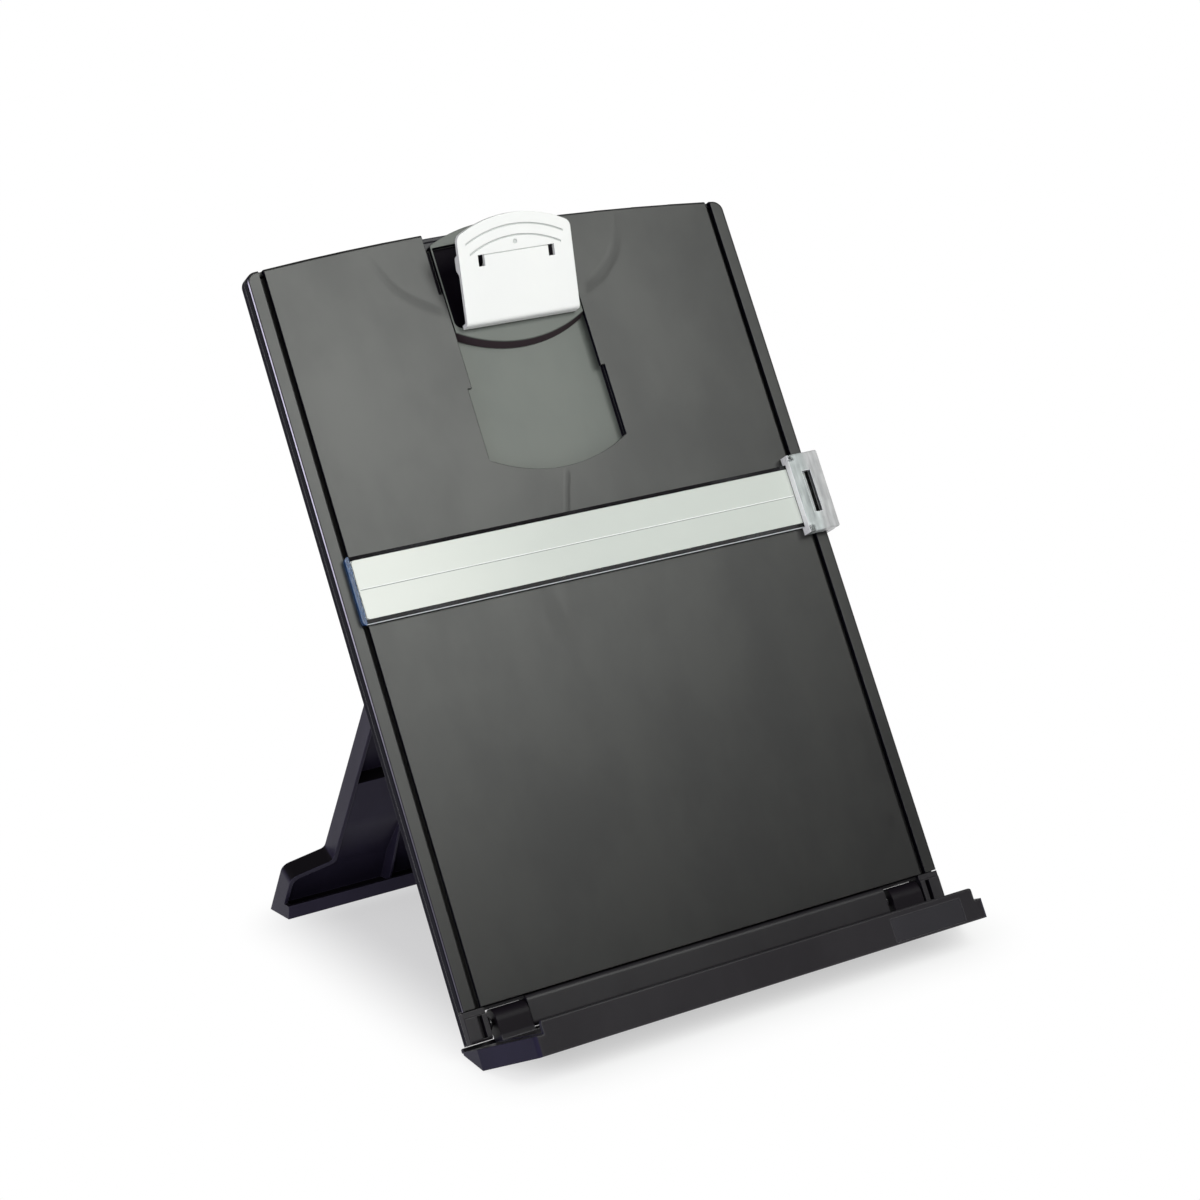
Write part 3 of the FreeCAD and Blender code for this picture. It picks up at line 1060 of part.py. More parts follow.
def leg_bushes():
    """Flanged plastic bushes in the ends of the leg's barrel."""
    hinge_y, hinge_z = leg_axis()
    bushes = []
    for side in (-1, 1):
        x0, x1 = sorted((side * (LEG_TOP_HALF - BUSH_LENGTH + 0.1), side * (LEG_TOP_HALF + BUSH_FLANGE)))
        f0, f1 = sorted((side * (LEG_TOP_HALF + 0.02), side * (LEG_TOP_HALF + BUSH_FLANGE)))
        bush = joined([rod(BUSH_RADIUS, x0, x1, hinge_y, hinge_z),
                       rod(LEG_BARREL - 0.2, f0, f1, hinge_y, hinge_z)])
        bushes.append(without(bush, [rod(LEG_PIN + PIN_FIT, x0 - 1, x1 + 1, hinge_y, hinge_z)]))
    return Part.makeCompound(bushes)


# ---- Standing it on the desk and writing the files -------------------------------------------------------------
def main():
    """Build every piece, lean the board back, put the origin under the middle and write the STEP files."""
    makers = [front_panel, back_cover, cover_screws, slide_track, bottom_rail, clip_slider, slider_brake, clip_lever,
              clip_pin, clip_spring, guide_bar, guide_film, guide_runner, guide_clamp, guide_brake, ledge_tray,
              ledge_feet, label_plate, ledge_pins, ledge_washers, leg, leg_feet, leg_pin, leg_bushes]
    shapes = {maker.__name__: maker() for maker in makers}
    turn = FreeCAD.Placement(V(0, 0, 0), FreeCAD.Rotation(V(1, 0, 0), 90 - LEAN))
    for shape in shapes.values():
        shape.Placement = turn.multiply(shape.Placement)
    whole = Part.makeCompound(list(shapes.values())).BoundBox
    shift = V(-(whole.XMin + whole.XMax) / 2, -(whole.YMin + whole.YMax) / 2, -whole.ZMin)
    os.makedirs("parts", exist_ok=True)
    for name, shape in shapes.items():
        shape.translate(shift)
        shape.exportStep(os.path.join("parts", name + ".step"))
    print("board frame origin at", [round(value, 4) for value in shift])
    for label, (y, z) in (("ledge hinge", (HINGE_Y, HINGE_Z)), ("leg hinge", leg_axis()),
                          ("lever pivot", (PIVOT_Y, PIVOT_Z))):
        point = turn.multVec(V(0, y, z)) + shift
        print(label, [round(value, 4) for value in point])
    print("leg swing", round(leg_frame()[0], 3), "size", [round(v, 2) for v in (whole.XLength, whole.YLength,
                                                                             whole.ZLength)])


main()
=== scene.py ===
"""Looks of the desk copy holder: finishes, fine moulded detail and the studio round it.

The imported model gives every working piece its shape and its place. This file dresses those pieces, lays the thin
details over them that only the eye needs, and sets the floor, the lamps and the camera.
"""

from __future__ import annotations

import logging
import math
from dataclasses import dataclass
from enum import Enum

import bmesh
import bpy
from mathutils import Matrix, Vector


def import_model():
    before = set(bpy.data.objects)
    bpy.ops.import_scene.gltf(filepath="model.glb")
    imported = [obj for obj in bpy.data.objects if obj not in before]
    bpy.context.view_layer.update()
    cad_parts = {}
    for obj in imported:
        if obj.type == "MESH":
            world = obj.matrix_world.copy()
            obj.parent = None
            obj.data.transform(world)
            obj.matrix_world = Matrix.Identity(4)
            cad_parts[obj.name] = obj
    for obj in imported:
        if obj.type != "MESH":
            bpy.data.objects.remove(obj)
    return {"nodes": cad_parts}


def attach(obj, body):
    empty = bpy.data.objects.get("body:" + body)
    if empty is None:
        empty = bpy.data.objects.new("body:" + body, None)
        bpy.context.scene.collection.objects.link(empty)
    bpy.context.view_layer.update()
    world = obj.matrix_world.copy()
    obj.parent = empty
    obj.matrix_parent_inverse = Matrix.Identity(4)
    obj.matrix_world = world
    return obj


LOG = logging.getLogger("copy_holder")
MM = 0.001

Colour = tuple[float, float, float]
Triple = tuple[float, float, float]
Pair = tuple[float, float]

ACROSS: Triple = (1.0, 0.0, 0.0)
BACKWARD: Triple = (0.0, 1.0, 0.0)
WHITE: Colour = (1.0, 1.0, 1.0)

# Range of the slow cloudy pattern over which a moulding's two shades blend.
CLOUDS: Pair = (0.34, 0.68)

# Height of the line guide's middle on the board, in millimetres.
GUIDE_MIDDLE = 178.3


# ---- Shader building ---------------------------------------------------------------------------------------------
class Signal:
    """A number carried by a shader socket, on which Python arithmetic adds the matching nodes."""

    def __init__(self, shader: Shader, socket: bpy.types.NodeSocket) -> None:
        """Wrap a socket of a shader."""
        self.shader = shader
        self.socket = socket

    def _math(self, operation: str, *terms: Signal | float) -> Signal:
        """Add one Math node.

        Args:
            operation: name of the node's operation.
            terms: what goes into its sockets, in order.

        Returns:
            The node's result.
        """
        values = {index: term for index, term in enumerate(terms)}
        return self.shader.node("ShaderNodeMath", {"operation": operation}, values)

    def __add__(self, other: Signal | float) -> Signal:
        """Sum."""
        return self._math("ADD", self, other)

    def __radd__(self, other: float) -> Signal:
        """Sum with the number first."""
        return self._math("ADD", other, self)

    def __sub__(self, other: Signal | float) -> Signal:
        """Difference."""
        return self._math("SUBTRACT", self, other)

    def __rsub__(self, other: float) -> Signal:
        """Difference with the number first."""
        return self._math("SUBTRACT", other, self)

    def __mul__(self, other: Signal | float) -> Signal:
        """Product."""
        return self._math("MULTIPLY", self, other)

    def __rmul__(self, other: float) -> Signal:
        """Product with the number first."""
        return self._math("MULTIPLY", other, self)

    def __abs__(self) -> Signal:
        """Distance from zero."""
        return self._math("ABSOLUTE", self)

    def root(self) -> Signal:
        """Square root."""
        return self._math("SQRT", self)

    def at_least(self, other: Signal | float) -> Signal:
        """The larger of the two."""
        return self._math("MAXIMUM", self, other)

    def at_most(self, other: Signal | float) -> Signal:
        """The smaller of the two."""
        return self._math("MINIMUM", self, other)

    def ramp(self, low: float, high: float, out_low: float = 0.0, out_high: float = 1.0) -> Signal:
        """Smooth step between two values.

        Args:
            low: where the step starts.
            high: where the step ends; less than low turns it round.
            out_low: result before the step.
            out_high: result after it.

        Returns:
            The stepped value.
        """
        settings = {"interpolation_type": "SMOOTHSTEP"}
        if low > high:
            low, high, out_low, out_high = high, low, out_high, out_low
        values = {"Value": self, "From Min": low, "From Max": high, "To Min": out_low, "To Max": out_high}
        return self.shader.node("ShaderNodeMapRange", settings, values)

    def band(self, centre: float, half: float, soft: float) -> Signal:
        """Mask of a stripe.

        Args:
            centre: value at the middle of the stripe.
            half: half its width.
            soft: width of its soft edges.

        Returns:
            1 inside the stripe and 0 away from it.
        """
        return abs(self - centre).ramp(half + soft, half)


class NodeTree:
    """An emptied node tree and the one way in which nodes are added to it."""

    def __init__(self, owner: bpy.types.Material | bpy.types.World, output: str) -> None:
        """Empty the tree.

        Args:
            owner: material or world that the tree belongs to.
            output: type of its output node.
        """
        owner.use_nodes = True
        self.tree = owner.node_tree
        self.tree.nodes.clear()
        self.output = self.tree.nodes.new(output)

    def seen(self) -> Signal:
        """Tell what the eye sees from what lights the object.

        Returns:
            1 for a ray seen straight, mirrored or through something clear, and 0 for light on the object.
        """
        straight = self.node("ShaderNodeLightPath", out="Is Camera Ray")
        mirrored = self.node("ShaderNodeLightPath", out="Is Glossy Ray")
        through = self.node("ShaderNodeLightPath", out="Is Transmission Ray")
        return (straight + mirrored + through).at_most(1.0)

    def node(self, kind: str, settings: dict | None = None, values: dict | None = None,
             out: int | str = 0) -> Signal:
        """Add one node.

        Args:
            kind: the node's type.
            settings: its properties, set before its sockets.
            values: socket name or index to a number, a tuple or another signal.
            out: which output to return.

        Returns:
            The chosen output.
        """
        made = self.tree.nodes.new(kind)
        for key, value in (settings or {}).items():
            setattr(made, key, value)
        for key, value in (values or {}).items():
            socket = made.inputs[key]
            if isinstance(value, Signal):
                self.tree.links.new(value.socket, socket)
            elif socket.type == "RGBA" and len(value) == 3:
                socket.default_value = (*value, 1.0)
            else:
                socket.default_value = value
        return Signal(self, made.outputs[out])

    def close(self, surface: Signal) -> None:
        """Send a surface to the output."""
        self.tree.links.new(surface.socket, self.output.inputs["Surface"])


class Surround(NodeTree):
    """The world round the object."""

    def __init__(self, name: str) -> None:
        """Start an empty world and make it the scene's.

        Args:
            name: the world's name.
        """
        self.world = bpy.data.worlds.new(name)
        bpy.context.scene.world = self.world
        super().__init__(self.world, "ShaderNodeOutputWorld")

    def height(self) -> Signal:
        """Sine of the height above the horizon in which a ray looks."""
        looks = self.node("ShaderNodeTexCoord", out="Generated")
        return self.node("ShaderNodeSeparateXYZ", None, {0: looks}, out="Z")


class Shader(NodeTree):
    """One material and the nodes in it."""

    def __init__(self, name: str) -> None:
        """Start an empty material of that name."""
        self.material = bpy.data.materials.new(name)
        super().__init__(self.material, "ShaderNodeOutputMaterial")

    def place(self) -> Signal:
        """Position on the object, in metres."""
        return self.node("ShaderNodeTexCoord", out="Object")

    def along(self, direction: Triple, origin: Triple) -> Signal:
        """Millimetres from a point along a direction.

        Args:
            direction: unit vector.
            origin: where the distance is zero, in metres.

        Returns:
            The distance, in millimetres.
        """
        dot = self.node("ShaderNodeVectorMath", {"operation": "DOT_PRODUCT"}, {0: self.place(), 1: direction},
                        out="Value")
        start = sum(a * b for a, b in zip(direction, origin))
        return (dot - start) * (1 / MM)

    def noise(self, size: float, detail: float = 2.0, roughness: float = 0.5,
              stretch: Triple = (1.0, 1.0, 1.0)) -> Signal:
        """Soft noise with features of a given size.

        Args:
            size: feature size in millimetres.
            detail: number of finer layers.
            roughness: strength of those layers.
            stretch: how much shorter the features are along each axis.

        Returns:
            A value round 0.5.
        """
        scaled = self.node("ShaderNodeMapping", None, {"Vector": self.place(), "Scale": stretch})
        return self.node("ShaderNodeTexNoise", {"noise_dimensions": "3D"},
                         {"Vector": scaled, "Scale": 1.0 / (size * MM), "Detail": detail, "Roughness": roughness})

    def tint(self, mask: Signal, first: Colour | Signal, second: Colour | Signal) -> Signal:
        """Colour between two, by a mask from 0 to 1."""
        return self.node("ShaderNodeMix", {"data_type": "RGBA"}, {0: mask, 6: first, 7: second}, out=2)

    def relief(self, height: Signal, depth: float, under: Signal | None = None) -> Signal:
        """Bumped normal.

        Args:
            height: pattern from 0 to 1.
            depth: height of the pattern in millimetres.
            under: a normal to lay it on.

        Returns:
            The new normal.
        """
        values: dict = {"Height": height, "Distance": depth * MM, "Strength": 1.0}
        if under is not None:
            values["Normal"] = under
        return self.node("ShaderNodeBump", None, values)

    def soft_edges(self, radius: float) -> Signal:
        """Normal that rounds sharp edges by a radius in millimetres."""
        return self.node("ShaderNodeBevel", {"samples": 6}, {"Radius": radius * MM})

    def facing(self, axis: str) -> Signal:
        """How far a face looks along an axis of the object, from -1 to 1."""
        normal = self.node("ShaderNodeTexCoord", out="Normal")
        return self.node("ShaderNodeSeparateXYZ", None, {0: normal}, out=axis)

    def sideways(self, low: float = 0.72, high: float = 0.90) -> Signal:
        """Mask of the walls that look left or right, which take the painted shade."""
        return abs(self.facing("X")).ramp(low, high)

    def leftward(self) -> Signal:
        """Mask of the walls that look left."""
        return self.facing("X").ramp(-0.7, -0.9)

    def rubbed_and_lit_edges(self, radius: float) -> Signal:
        """Mask of the edges that hands polish, which also carries the painted edge highlights.

        Args:
            radius: how far the polish reaches from an edge, in millimetres.

        Returns:
            1 on an edge and 0 on a flat face.
        """
        true = self.node("ShaderNodeNewGeometry", out="Normal")
        agree = self.node("ShaderNodeVectorMath", {"operation": "DOT_PRODUCT"}, {0: self.soft_edges(radius), 1: true},
                          out="Value")
        return agree.ramp(0.995, 0.90)

    def finish(self, surface: Signal) -> bpy.types.Material:
        """Send a surface to the output and return the material."""
        self.close(surface)
        return self.material


class Grain(Enum):
    """How coarse the spark-eroded skin of a moulding is, in millimetres."""

    POLISHED = 0.0
    FINE = 0.22
    MEDIUM = 0.34


# ---- Finishes ----------------------------------------------------------------------------------------------------
@dataclass(frozen=True)
class BoardFrame:
    """The leaning frame of the board, in which its details are placed."""

    lean: float = 25.5
    shift: Triple = (-1.4023, -85.1106, 21.0663)

    @property
    def origin(self) -> Triple:
        """Foot of the board's face, in metres."""
        return tuple(value * MM for value in self.shift)

    @property
    def up(self) -> Triple:
        """Direction up the board."""
        angle = math.radians(self.lean)
        return (0.0, math.sin(angle), math.cos(angle))

    @property
    def out(self) -> Triple:
        """Direction out of the board's face."""
        angle = math.radians(self.lean)
        return (0.0, -math.cos(angle), math.sin(angle))

    def point(self, x: float, y: float, z: float) -> Vector:
        """Point across, up and out of the board, given in millimetres."""
        offset = Vector(ACROSS) * x + Vector(self.up) * y + Vector(self.out) * z
        return offset * MM + Vector(self.origin)

    def x(self, shader: Shader) -> Signal:
        """Millimetres to the right of the board's middle."""
        return shader.along(ACROSS, self.origin)

    def y(self, shader: Shader) -> Signal:
        """Millimetres up the board."""
        return shader.along(self.up, self.origin)

    def z(self, shader: Shader) -> Signal:
        """Millimetres out of the board's face."""
        return shader.along(self.out, self.origin)


@dataclass(frozen=True)
class MouldedPlastic:
    """Opaque injection-moulded plastic.

    Its skin has a fine grain, slow waves of gloss where it cooled, faint smears, and edges that hands have polished.
    A given edge colour paints a highlight on those edges, and a given side colour paints shade on the masked walls.
    """

    name: str
    colour: Colour
    shade: Colour
    roughness: float = 0.45
    grain: Grain = Grain.FINE
    grain_depth: float = 0.012
    waves: float = 0.06
    edge: float = 0.35
    specular: float = 0.5
    side_shade_colour: Colour | None = None
    side_specular: float = 0.12
    rub: float = 0.10
    wear_and_highlight: Colour | None = None
    cloud_size: float = 38.0
    smear_size: float = 16.0
    speck_size: float = 1.1
    mark_depth: float = 0.12
    frame: BoardFrame = BoardFrame()

    def details(self, shader: Shader) -> tuple[Signal | None, Signal | None]:
        """Extra marks of one moulding.

        Args:
            shader: the material under construction.

        Returns:
            A height pattern, and a mask of duller skin; either may be missing.
        """
        return None, None

    def face_colour(self, shader: Shader, clouds: Signal) -> Signal:
        """Colour of the faces.

        Args:
            shader: the material under construction.
            clouds: slow pattern from 0 to 1.

        Returns:
            The colour.
        """
        return shader.tint(clouds.ramp(*CLOUDS), self.colour, self.shade)

    def painted_shade_mask(self, shader: Shader, rubbed_and_lit: Signal) -> Signal:
        """Mask of the walls that take the painted shade, up to their rubbed edges."""
        return shader.sideways() * (1.0 - rubbed_and_lit)

    def shaded_wall_colour(self, shader: Shader, clouds: Signal) -> Signal:
        """Colour of those walls: a darker copy of the finish that paints shade.

        Args:
            shader: the material under construction.
            clouds: slow pattern from 0 to 1.

        Returns:
            The colour.
        """
        return shader.tint(clouds.ramp(*CLOUDS), self.side_shade_colour, tuple(0.8 * c for c in self.side_shade_colour))

    def material(self) -> bpy.types.Material:
        """Build the material.

        Returns:
            The finished material.
        """
        shader = Shader(self.name)
        clouds = shader.noise(self.cloud_size, 4.0, 0.55, (1.0, 1.0, 0.45))
        smears = shader.noise(self.smear_size, 3.0, 0.6, (1.0, 0.5, 0.3))
        specks = shader.noise(self.speck_size, 3.0, 0.6)
        rubbed_and_lit = shader.rubbed_and_lit_edges(max(self.edge, 0.2) * 1.6)
        marks, dull = self.details(shader)
        base = self.face_colour(shader, clouds)
        # A given edge colour paints a highlight along the rubbed edges.
        if self.wear_and_highlight is not None:
            base = shader.tint(rubbed_and_lit, base, self.wear_and_highlight)
        roughness = self.roughness + (clouds - 0.5) * self.waves + (specks - 0.5) * 0.05
        roughness = roughness - smears.ramp(0.60, 0.78) * self.waves * 0.5 - rubbed_and_lit * self.rub
        if dull is not None:
            roughness = roughness + dull
        normal = shader.soft_edges(self.edge)
        if marks is not None:
            normal = shader.relief(marks, self.mark_depth, normal)
        if self.grain is not Grain.POLISHED:
            normal = shader.relief(shader.noise(self.grain.value, 2.0, 0.5), self.grain_depth, normal)
        surface = shader.node("ShaderNodeBsdfPrincipled", None, {
            "Base Color": base, "Roughness": roughness, "Normal": normal, "Specular IOR Level": self.specular})
        # The masked walls take a darker, duller copy of the finish: painted shade.
        if self.side_shade_colour is not None:
            wall = shader.node("ShaderNodeBsdfPrincipled", None, {
                "Base Color": self.shaded_wall_colour(shader, clouds), "Roughness": roughness + 0.08, "Normal": normal,
                "Specular IOR Level": self.side_specular})
            surface = shader.node("ShaderNodeMixShader", None, {0: self.painted_shade_mask(shader, rubbed_and_lit), 1: surface, 2: wall})
        return shader.finish(surface)


@dataclass(frozen=True)
class BoardFacePlastic(MouldedPlastic):
    """The face of the board, with its weld line, the sink marks round the clip channel and a painted highlight along
    its left rim.
    """

    channel_foot: float = 213.5
    weld_x: float = 1.0
    weld_slant: float = 0.33
    weld_start: Pair = (150.0, 195.0)
    sink_radius: float = 47.0
    sink_centre: Pair = (18.0, 335.0)
    sink_start: Pair = (33.0, 38.0)
    sink_end: Pair = (64.0, 52.0)
    rounding: Pair = (117.1, 117.4)
    rim_highlight: Colour = (0.66, 0.62, 0.78)
    rim_fade: Pair = (60.0, 230.0)
    rim_low: float = 0.36
    rim_top: Pair = (321.0, 317.0)

    def face_colour(self, shader: Shader, clouds: Signal) -> Signal:
        """Colour of the face, with the painted highlight on its left rim.

        Args:
            shader: the material under construction.
            clouds: slow pattern from 0 to 1.

        Returns:
            The colour.
        """
        return shader.tint(self.painted_rim_highlight(shader), super().face_colour(shader, clouds), self.rim_highlight)

    def painted_rim_highlight(self, shader: Shader) -> Signal:
        """Mask of the painted highlight on the rounded left rim, brightest at the top.

        Args:
            shader: the material under construction.

        Returns:
            The mask.
        """
        left = 0.0 - shader.facing("X")
        near, edge = self.rounding
        band = left.ramp(0.44, 0.54) * left.ramp(0.88, 0.80) * self.frame.x(shader).ramp(-near, -edge)
        y = self.frame.y(shader)
        return band * y.ramp(*self.rim_fade, self.rim_low, 1.0) * y.ramp(*self.rim_top)

    def painted_shade_mask(self, shader: Shader, rubbed_and_lit: Signal) -> Signal:
        """Mask of the side walls that take the painted shade, which starts on their rounded edges and leaves out the
        painted rim highlight.
        """
        rounded = shader.sideways(0.27, 0.40) * abs(self.frame.x(shader)).ramp(*self.rounding)
        return shader.sideways().at_least(rounded) * (1.0 - rubbed_and_lit) * (1.0 - self.painted_rim_highlight(shader))

    def details(self, shader: Shader) -> tuple[Signal | None, Signal | None]:
        """Weld line and sink marks.

        Args:
            shader: the material under construction.

        Returns:
            Height of the marks, and where the gloss changes along them.
        """
        x, y = self.frame.x(shader), self.frame.y(shader)
        wander = (shader.noise(26.0, 2.0) - 0.5) * 4.0
        slanted = x - (y - self.channel_foot) * self.weld_slant + wander
        reach = y.ramp(*self.weld_start) * y.ramp(self.channel_foot, self.channel_foot - 4.5)
        weld = slanted.band(self.weld_x, 0.3, 1.6) * reach
        across = abs(x) - self.sink_centre[0]
        down = y - self.sink_centre[1]
        distance = (across * across + down * down).root() + wander
        ring = distance.band(self.sink_radius, 0.6, 3.0) * abs(x).ramp(*self.sink_start) * abs(x).ramp(*self.sink_end)
        marks = weld * 0.5 + ring * 0.7
        return marks, weld * 0.06 + ring * 0.06


@dataclass(frozen=True)
class SliderPlastic(MouldedPlastic):
    """The slider: smooth face, and a hollow painted black and dull as shade, with painted shade on the arched wall
    below it.
    """

    hollow_walls: Pair = (-0.25, -0.7)
    hollow_foot: float = 282.2
    foot_shade_colour: Colour = (0.043, 0.031, 0.036)

    def painted_shade_mask(self, shader: Shader, rubbed_and_lit: Signal) -> Signal:
        """Mask of the hollow and of the side walls, which take the painted shade."""
        hollow = self.frame.z(shader).ramp(*self.hollow_walls)
        return shader.sideways().at_least(hollow) * (1.0 - rubbed_and_lit)

    def shaded_wall_colour(self, shader: Shader, clouds: Signal) -> Signal:
        """Painted shade on the hollow, and on the arched wall below it.

        Args:
            shader: the material under construction.
            clouds: slow pattern from 0 to 1.

        Returns:
            The colour.
        """
        above = self.frame.y(shader).ramp(self.hollow_foot - 0.8, self.hollow_foot)
        return shader.tint(above, self.foot_shade_colour, super().shaded_wall_colour(shader, clouds))


@dataclass(frozen=True)
class TrayPlastic(MouldedPlastic):
    """The ledge: its two knuckles are painted darker and duller as shade."""

    knuckles: tuple[Pair, Pair] = ((-105.0, -89.7), (92.0, 107.3))
    knuckle_front: float = 1.0
    knuckle_foot: float = -13.0
    knuckle_shade_colour: Colour = (0.008, 0.006, 0.009)

    def at_knuckle(self, shader: Shader) -> Signal:
        """Mask of the knuckles.

        Args:
            shader: the material under construction.

        Returns:
            The mask.
        """
        x = self.frame.x(shader)
        behind = self.frame.z(shader).ramp(self.knuckle_front + 1.0, self.knuckle_front)
        above = self.frame.y(shader).ramp(self.knuckle_foot - 0.5, self.knuckle_foot)
        first, second = (x.band((left + right) / 2, (right - left) / 2, 0.3) for left, right in self.knuckles)
        return (first + second) * behind * above

    def painted_shade_mask(self, shader: Shader, rubbed_and_lit: Signal) -> Signal:
        """Mask of the knuckles, and of the side walls and their front corners, which take the painted shade."""
        return shader.sideways(0.25, 0.5).at_least(self.at_knuckle(shader))

    def shaded_wall_colour(self, shader: Shader, clouds: Signal) -> Signal:
        """Painted shade on the side walls, darker on the knuckles.

        Args:
            shader: the material under construction.
            clouds: slow pattern from 0 to 1.

        Returns:
            The colour.
        """
        return shader.tint(self.at_knuckle(shader), super().shaded_wall_colour(shader, clouds), self.knuckle_shade_colour)


@dataclass(frozen=True)
class LegPlastic(MouldedPlastic):
    """The leg: the faces that look up, on its boots, are painted nearly black as shade."""

    upward: Pair = (0.35, 0.65)

    def painted_shade_mask(self, shader: Shader, rubbed_and_lit: Signal) -> Signal:
        """Mask of the faces that look up, which take the painted shade."""
        return shader.facing("Z").ramp(*self.upward) * (1.0 - rubbed_and_lit)


@dataclass(frozen=True)
class LeverPlastic(MouldedPlastic):
    """The white lever, with grey painted shade in its fine grooves, its seam and its gate mark."""

    foot: Pair = (281.6, 5.2)
    tilt: float = 21.9
    groove_foot: float = 293.0
    groove_level: float = -0.35
    groove_half: float = 0.2
    groove_shade_colour: Colour = (0.58, 0.60, 0.59)

    def face_colour(self, shader: Shader, clouds: Signal) -> Signal:
        """White, with grey painted shade below the level of the plate.

        Args:
            shader: the material under construction.
            clouds: slow pattern from 0 to 1.

        Returns:
            The colour.
        """
        angle = math.radians(self.tilt)
        normal = Vector(self.frame.out) * math.cos(angle) - Vector(self.frame.up) * math.sin(angle)
        level = shader.along(tuple(normal), tuple(self.frame.point(0.0, *self.foot)))
        above = self.frame.y(shader).ramp(self.groove_foot, self.groove_foot + 1.0)
        sunk_shade = level.band(self.groove_level, self.groove_half, 0.08) * above
        return shader.tint(sunk_shade, super().face_colour(shader, clouds), self.groove_shade_colour)


@dataclass(frozen=True)
class ClearPlastic:
    """Clear acrylic with a slight tint, polished, with a painted highlight along its edges and on its lit left walls.
    """

    name: str
    colour: Colour
    roughness: float = 0.04
    edge: float = 0.3
    milk: float = 0.0
    milk_colour: Colour = (0.8, 0.8, 0.8)
    rim_highlight: float = 0.0
    rim_reach: float = 0.4
    lit_wall_highlight: float = 0.0
    flow: float = 0.004
    rim_colour: Colour | None = None
    specular: float = 0.5
    lit_colour: Colour = (0.95, 0.95, 0.95)
    refraction: float = 1.49
    frame: BoardFrame = BoardFrame()

    def material(self) -> bpy.types.Material:
        """Build the material.

        Returns:
            The finished material.
        """
        shader = Shader(self.name)
        flow = shader.noise(9.0, 2.0, 0.5, (0.3, 1.0, 1.0))
        normal = shader.relief(flow, self.flow, shader.soft_edges(self.edge))
        base = shader.tint(flow.ramp(0.3, 0.7), self.colour, tuple(min(1.0, c * 1.03) for c in self.colour))
        clear = shader.node("ShaderNodeBsdfPrincipled", None, {
            "Base Color": self.clear_colour(shader, base), "Roughness": self.roughness + flow * 0.03,
            "Normal": normal, "Transmission Weight": 1.0, "IOR": self.refraction,
            "Specular IOR Level": self.specular})
        # Rims and lit walls take paler colours: painted highlights.
        lit = self.lit_wall(shader) * self.lit_wall_highlight
        rim_highlight = self.haze_and_highlight(shader)
        pale = shader.tint(rim_highlight, self.cloud_colour(shader), self.rim_colour or self.milk_colour)
        pale = shader.tint(lit, pale, self.lit_colour)
        cloudy_and_lit = shader.node("ShaderNodeBsdfPrincipled", None, {
            "Base Color": pale, "Roughness": 0.25 + flow * 0.05, "Normal": normal,
            "Specular IOR Level": self.specular})
        haze_and_highlight = (flow - 0.5) * 0.12 + self.cloud(shader) + rim_highlight * self.rim_highlight + lit
        mixed = shader.node("ShaderNodeMixShader", None, {0: haze_and_highlight.at_least(0.0).at_most(1.0), 1: clear, 2: cloudy_and_lit})
        return shader.finish(mixed)

    def lit_wall(self, shader: Shader) -> Signal:
        """Mask of the walls painted pale as a highlight."""
        return shader.leftward()

    def haze_and_highlight(self, shader: Shader) -> Signal:
        """Mask of the edges that take the painted highlight."""
        return shader.rubbed_and_lit_edges(self.rim_reach)

    def cloud(self, shader: Shader) -> Signal | float:
        """How milky the body is."""
        return self.milk

    def cloud_colour(self, shader: Shader) -> Signal | Colour:
        """Colour of that milkiness."""
        return self.milk_colour

    def clear_colour(self, shader: Shader, base: Signal) -> Signal:
        """Colour of the clear part."""
        return base


@dataclass(frozen=True)
class BarPlastic(ClearPlastic):
    """The clear bar: painted shade along its margins, and a painted highlight line along its lower edge."""

    middle: float = GUIDE_MIDDLE
    half_height: float = 14.8
    margin: float = 2.0
    margin_shade_colour: Colour = (0.16, 0.14, 0.17)
    line_half: float = 0.13

    def haze_and_highlight(self, shader: Shader) -> Signal:
        """Mask of the painted highlight line along the lower edge."""
        foot = self.middle - self.half_height
        return self.frame.y(shader).band(foot + self.line_half, self.line_half, 0.05)

    def clear_colour(self, shader: Shader, base: Signal) -> Signal:
        """Colour of the clear part, with painted shade along the margins.

        Args:
            shader: the material under construction.
            base: colour of the rest.

        Returns:
            The colour.
        """
        away = abs(self.frame.y(shader) - self.middle)
        edge = self.half_height - self.margin
        return shader.tint(away.ramp(edge - 0.3, edge + 0.2), base, self.margin_shade_colour)


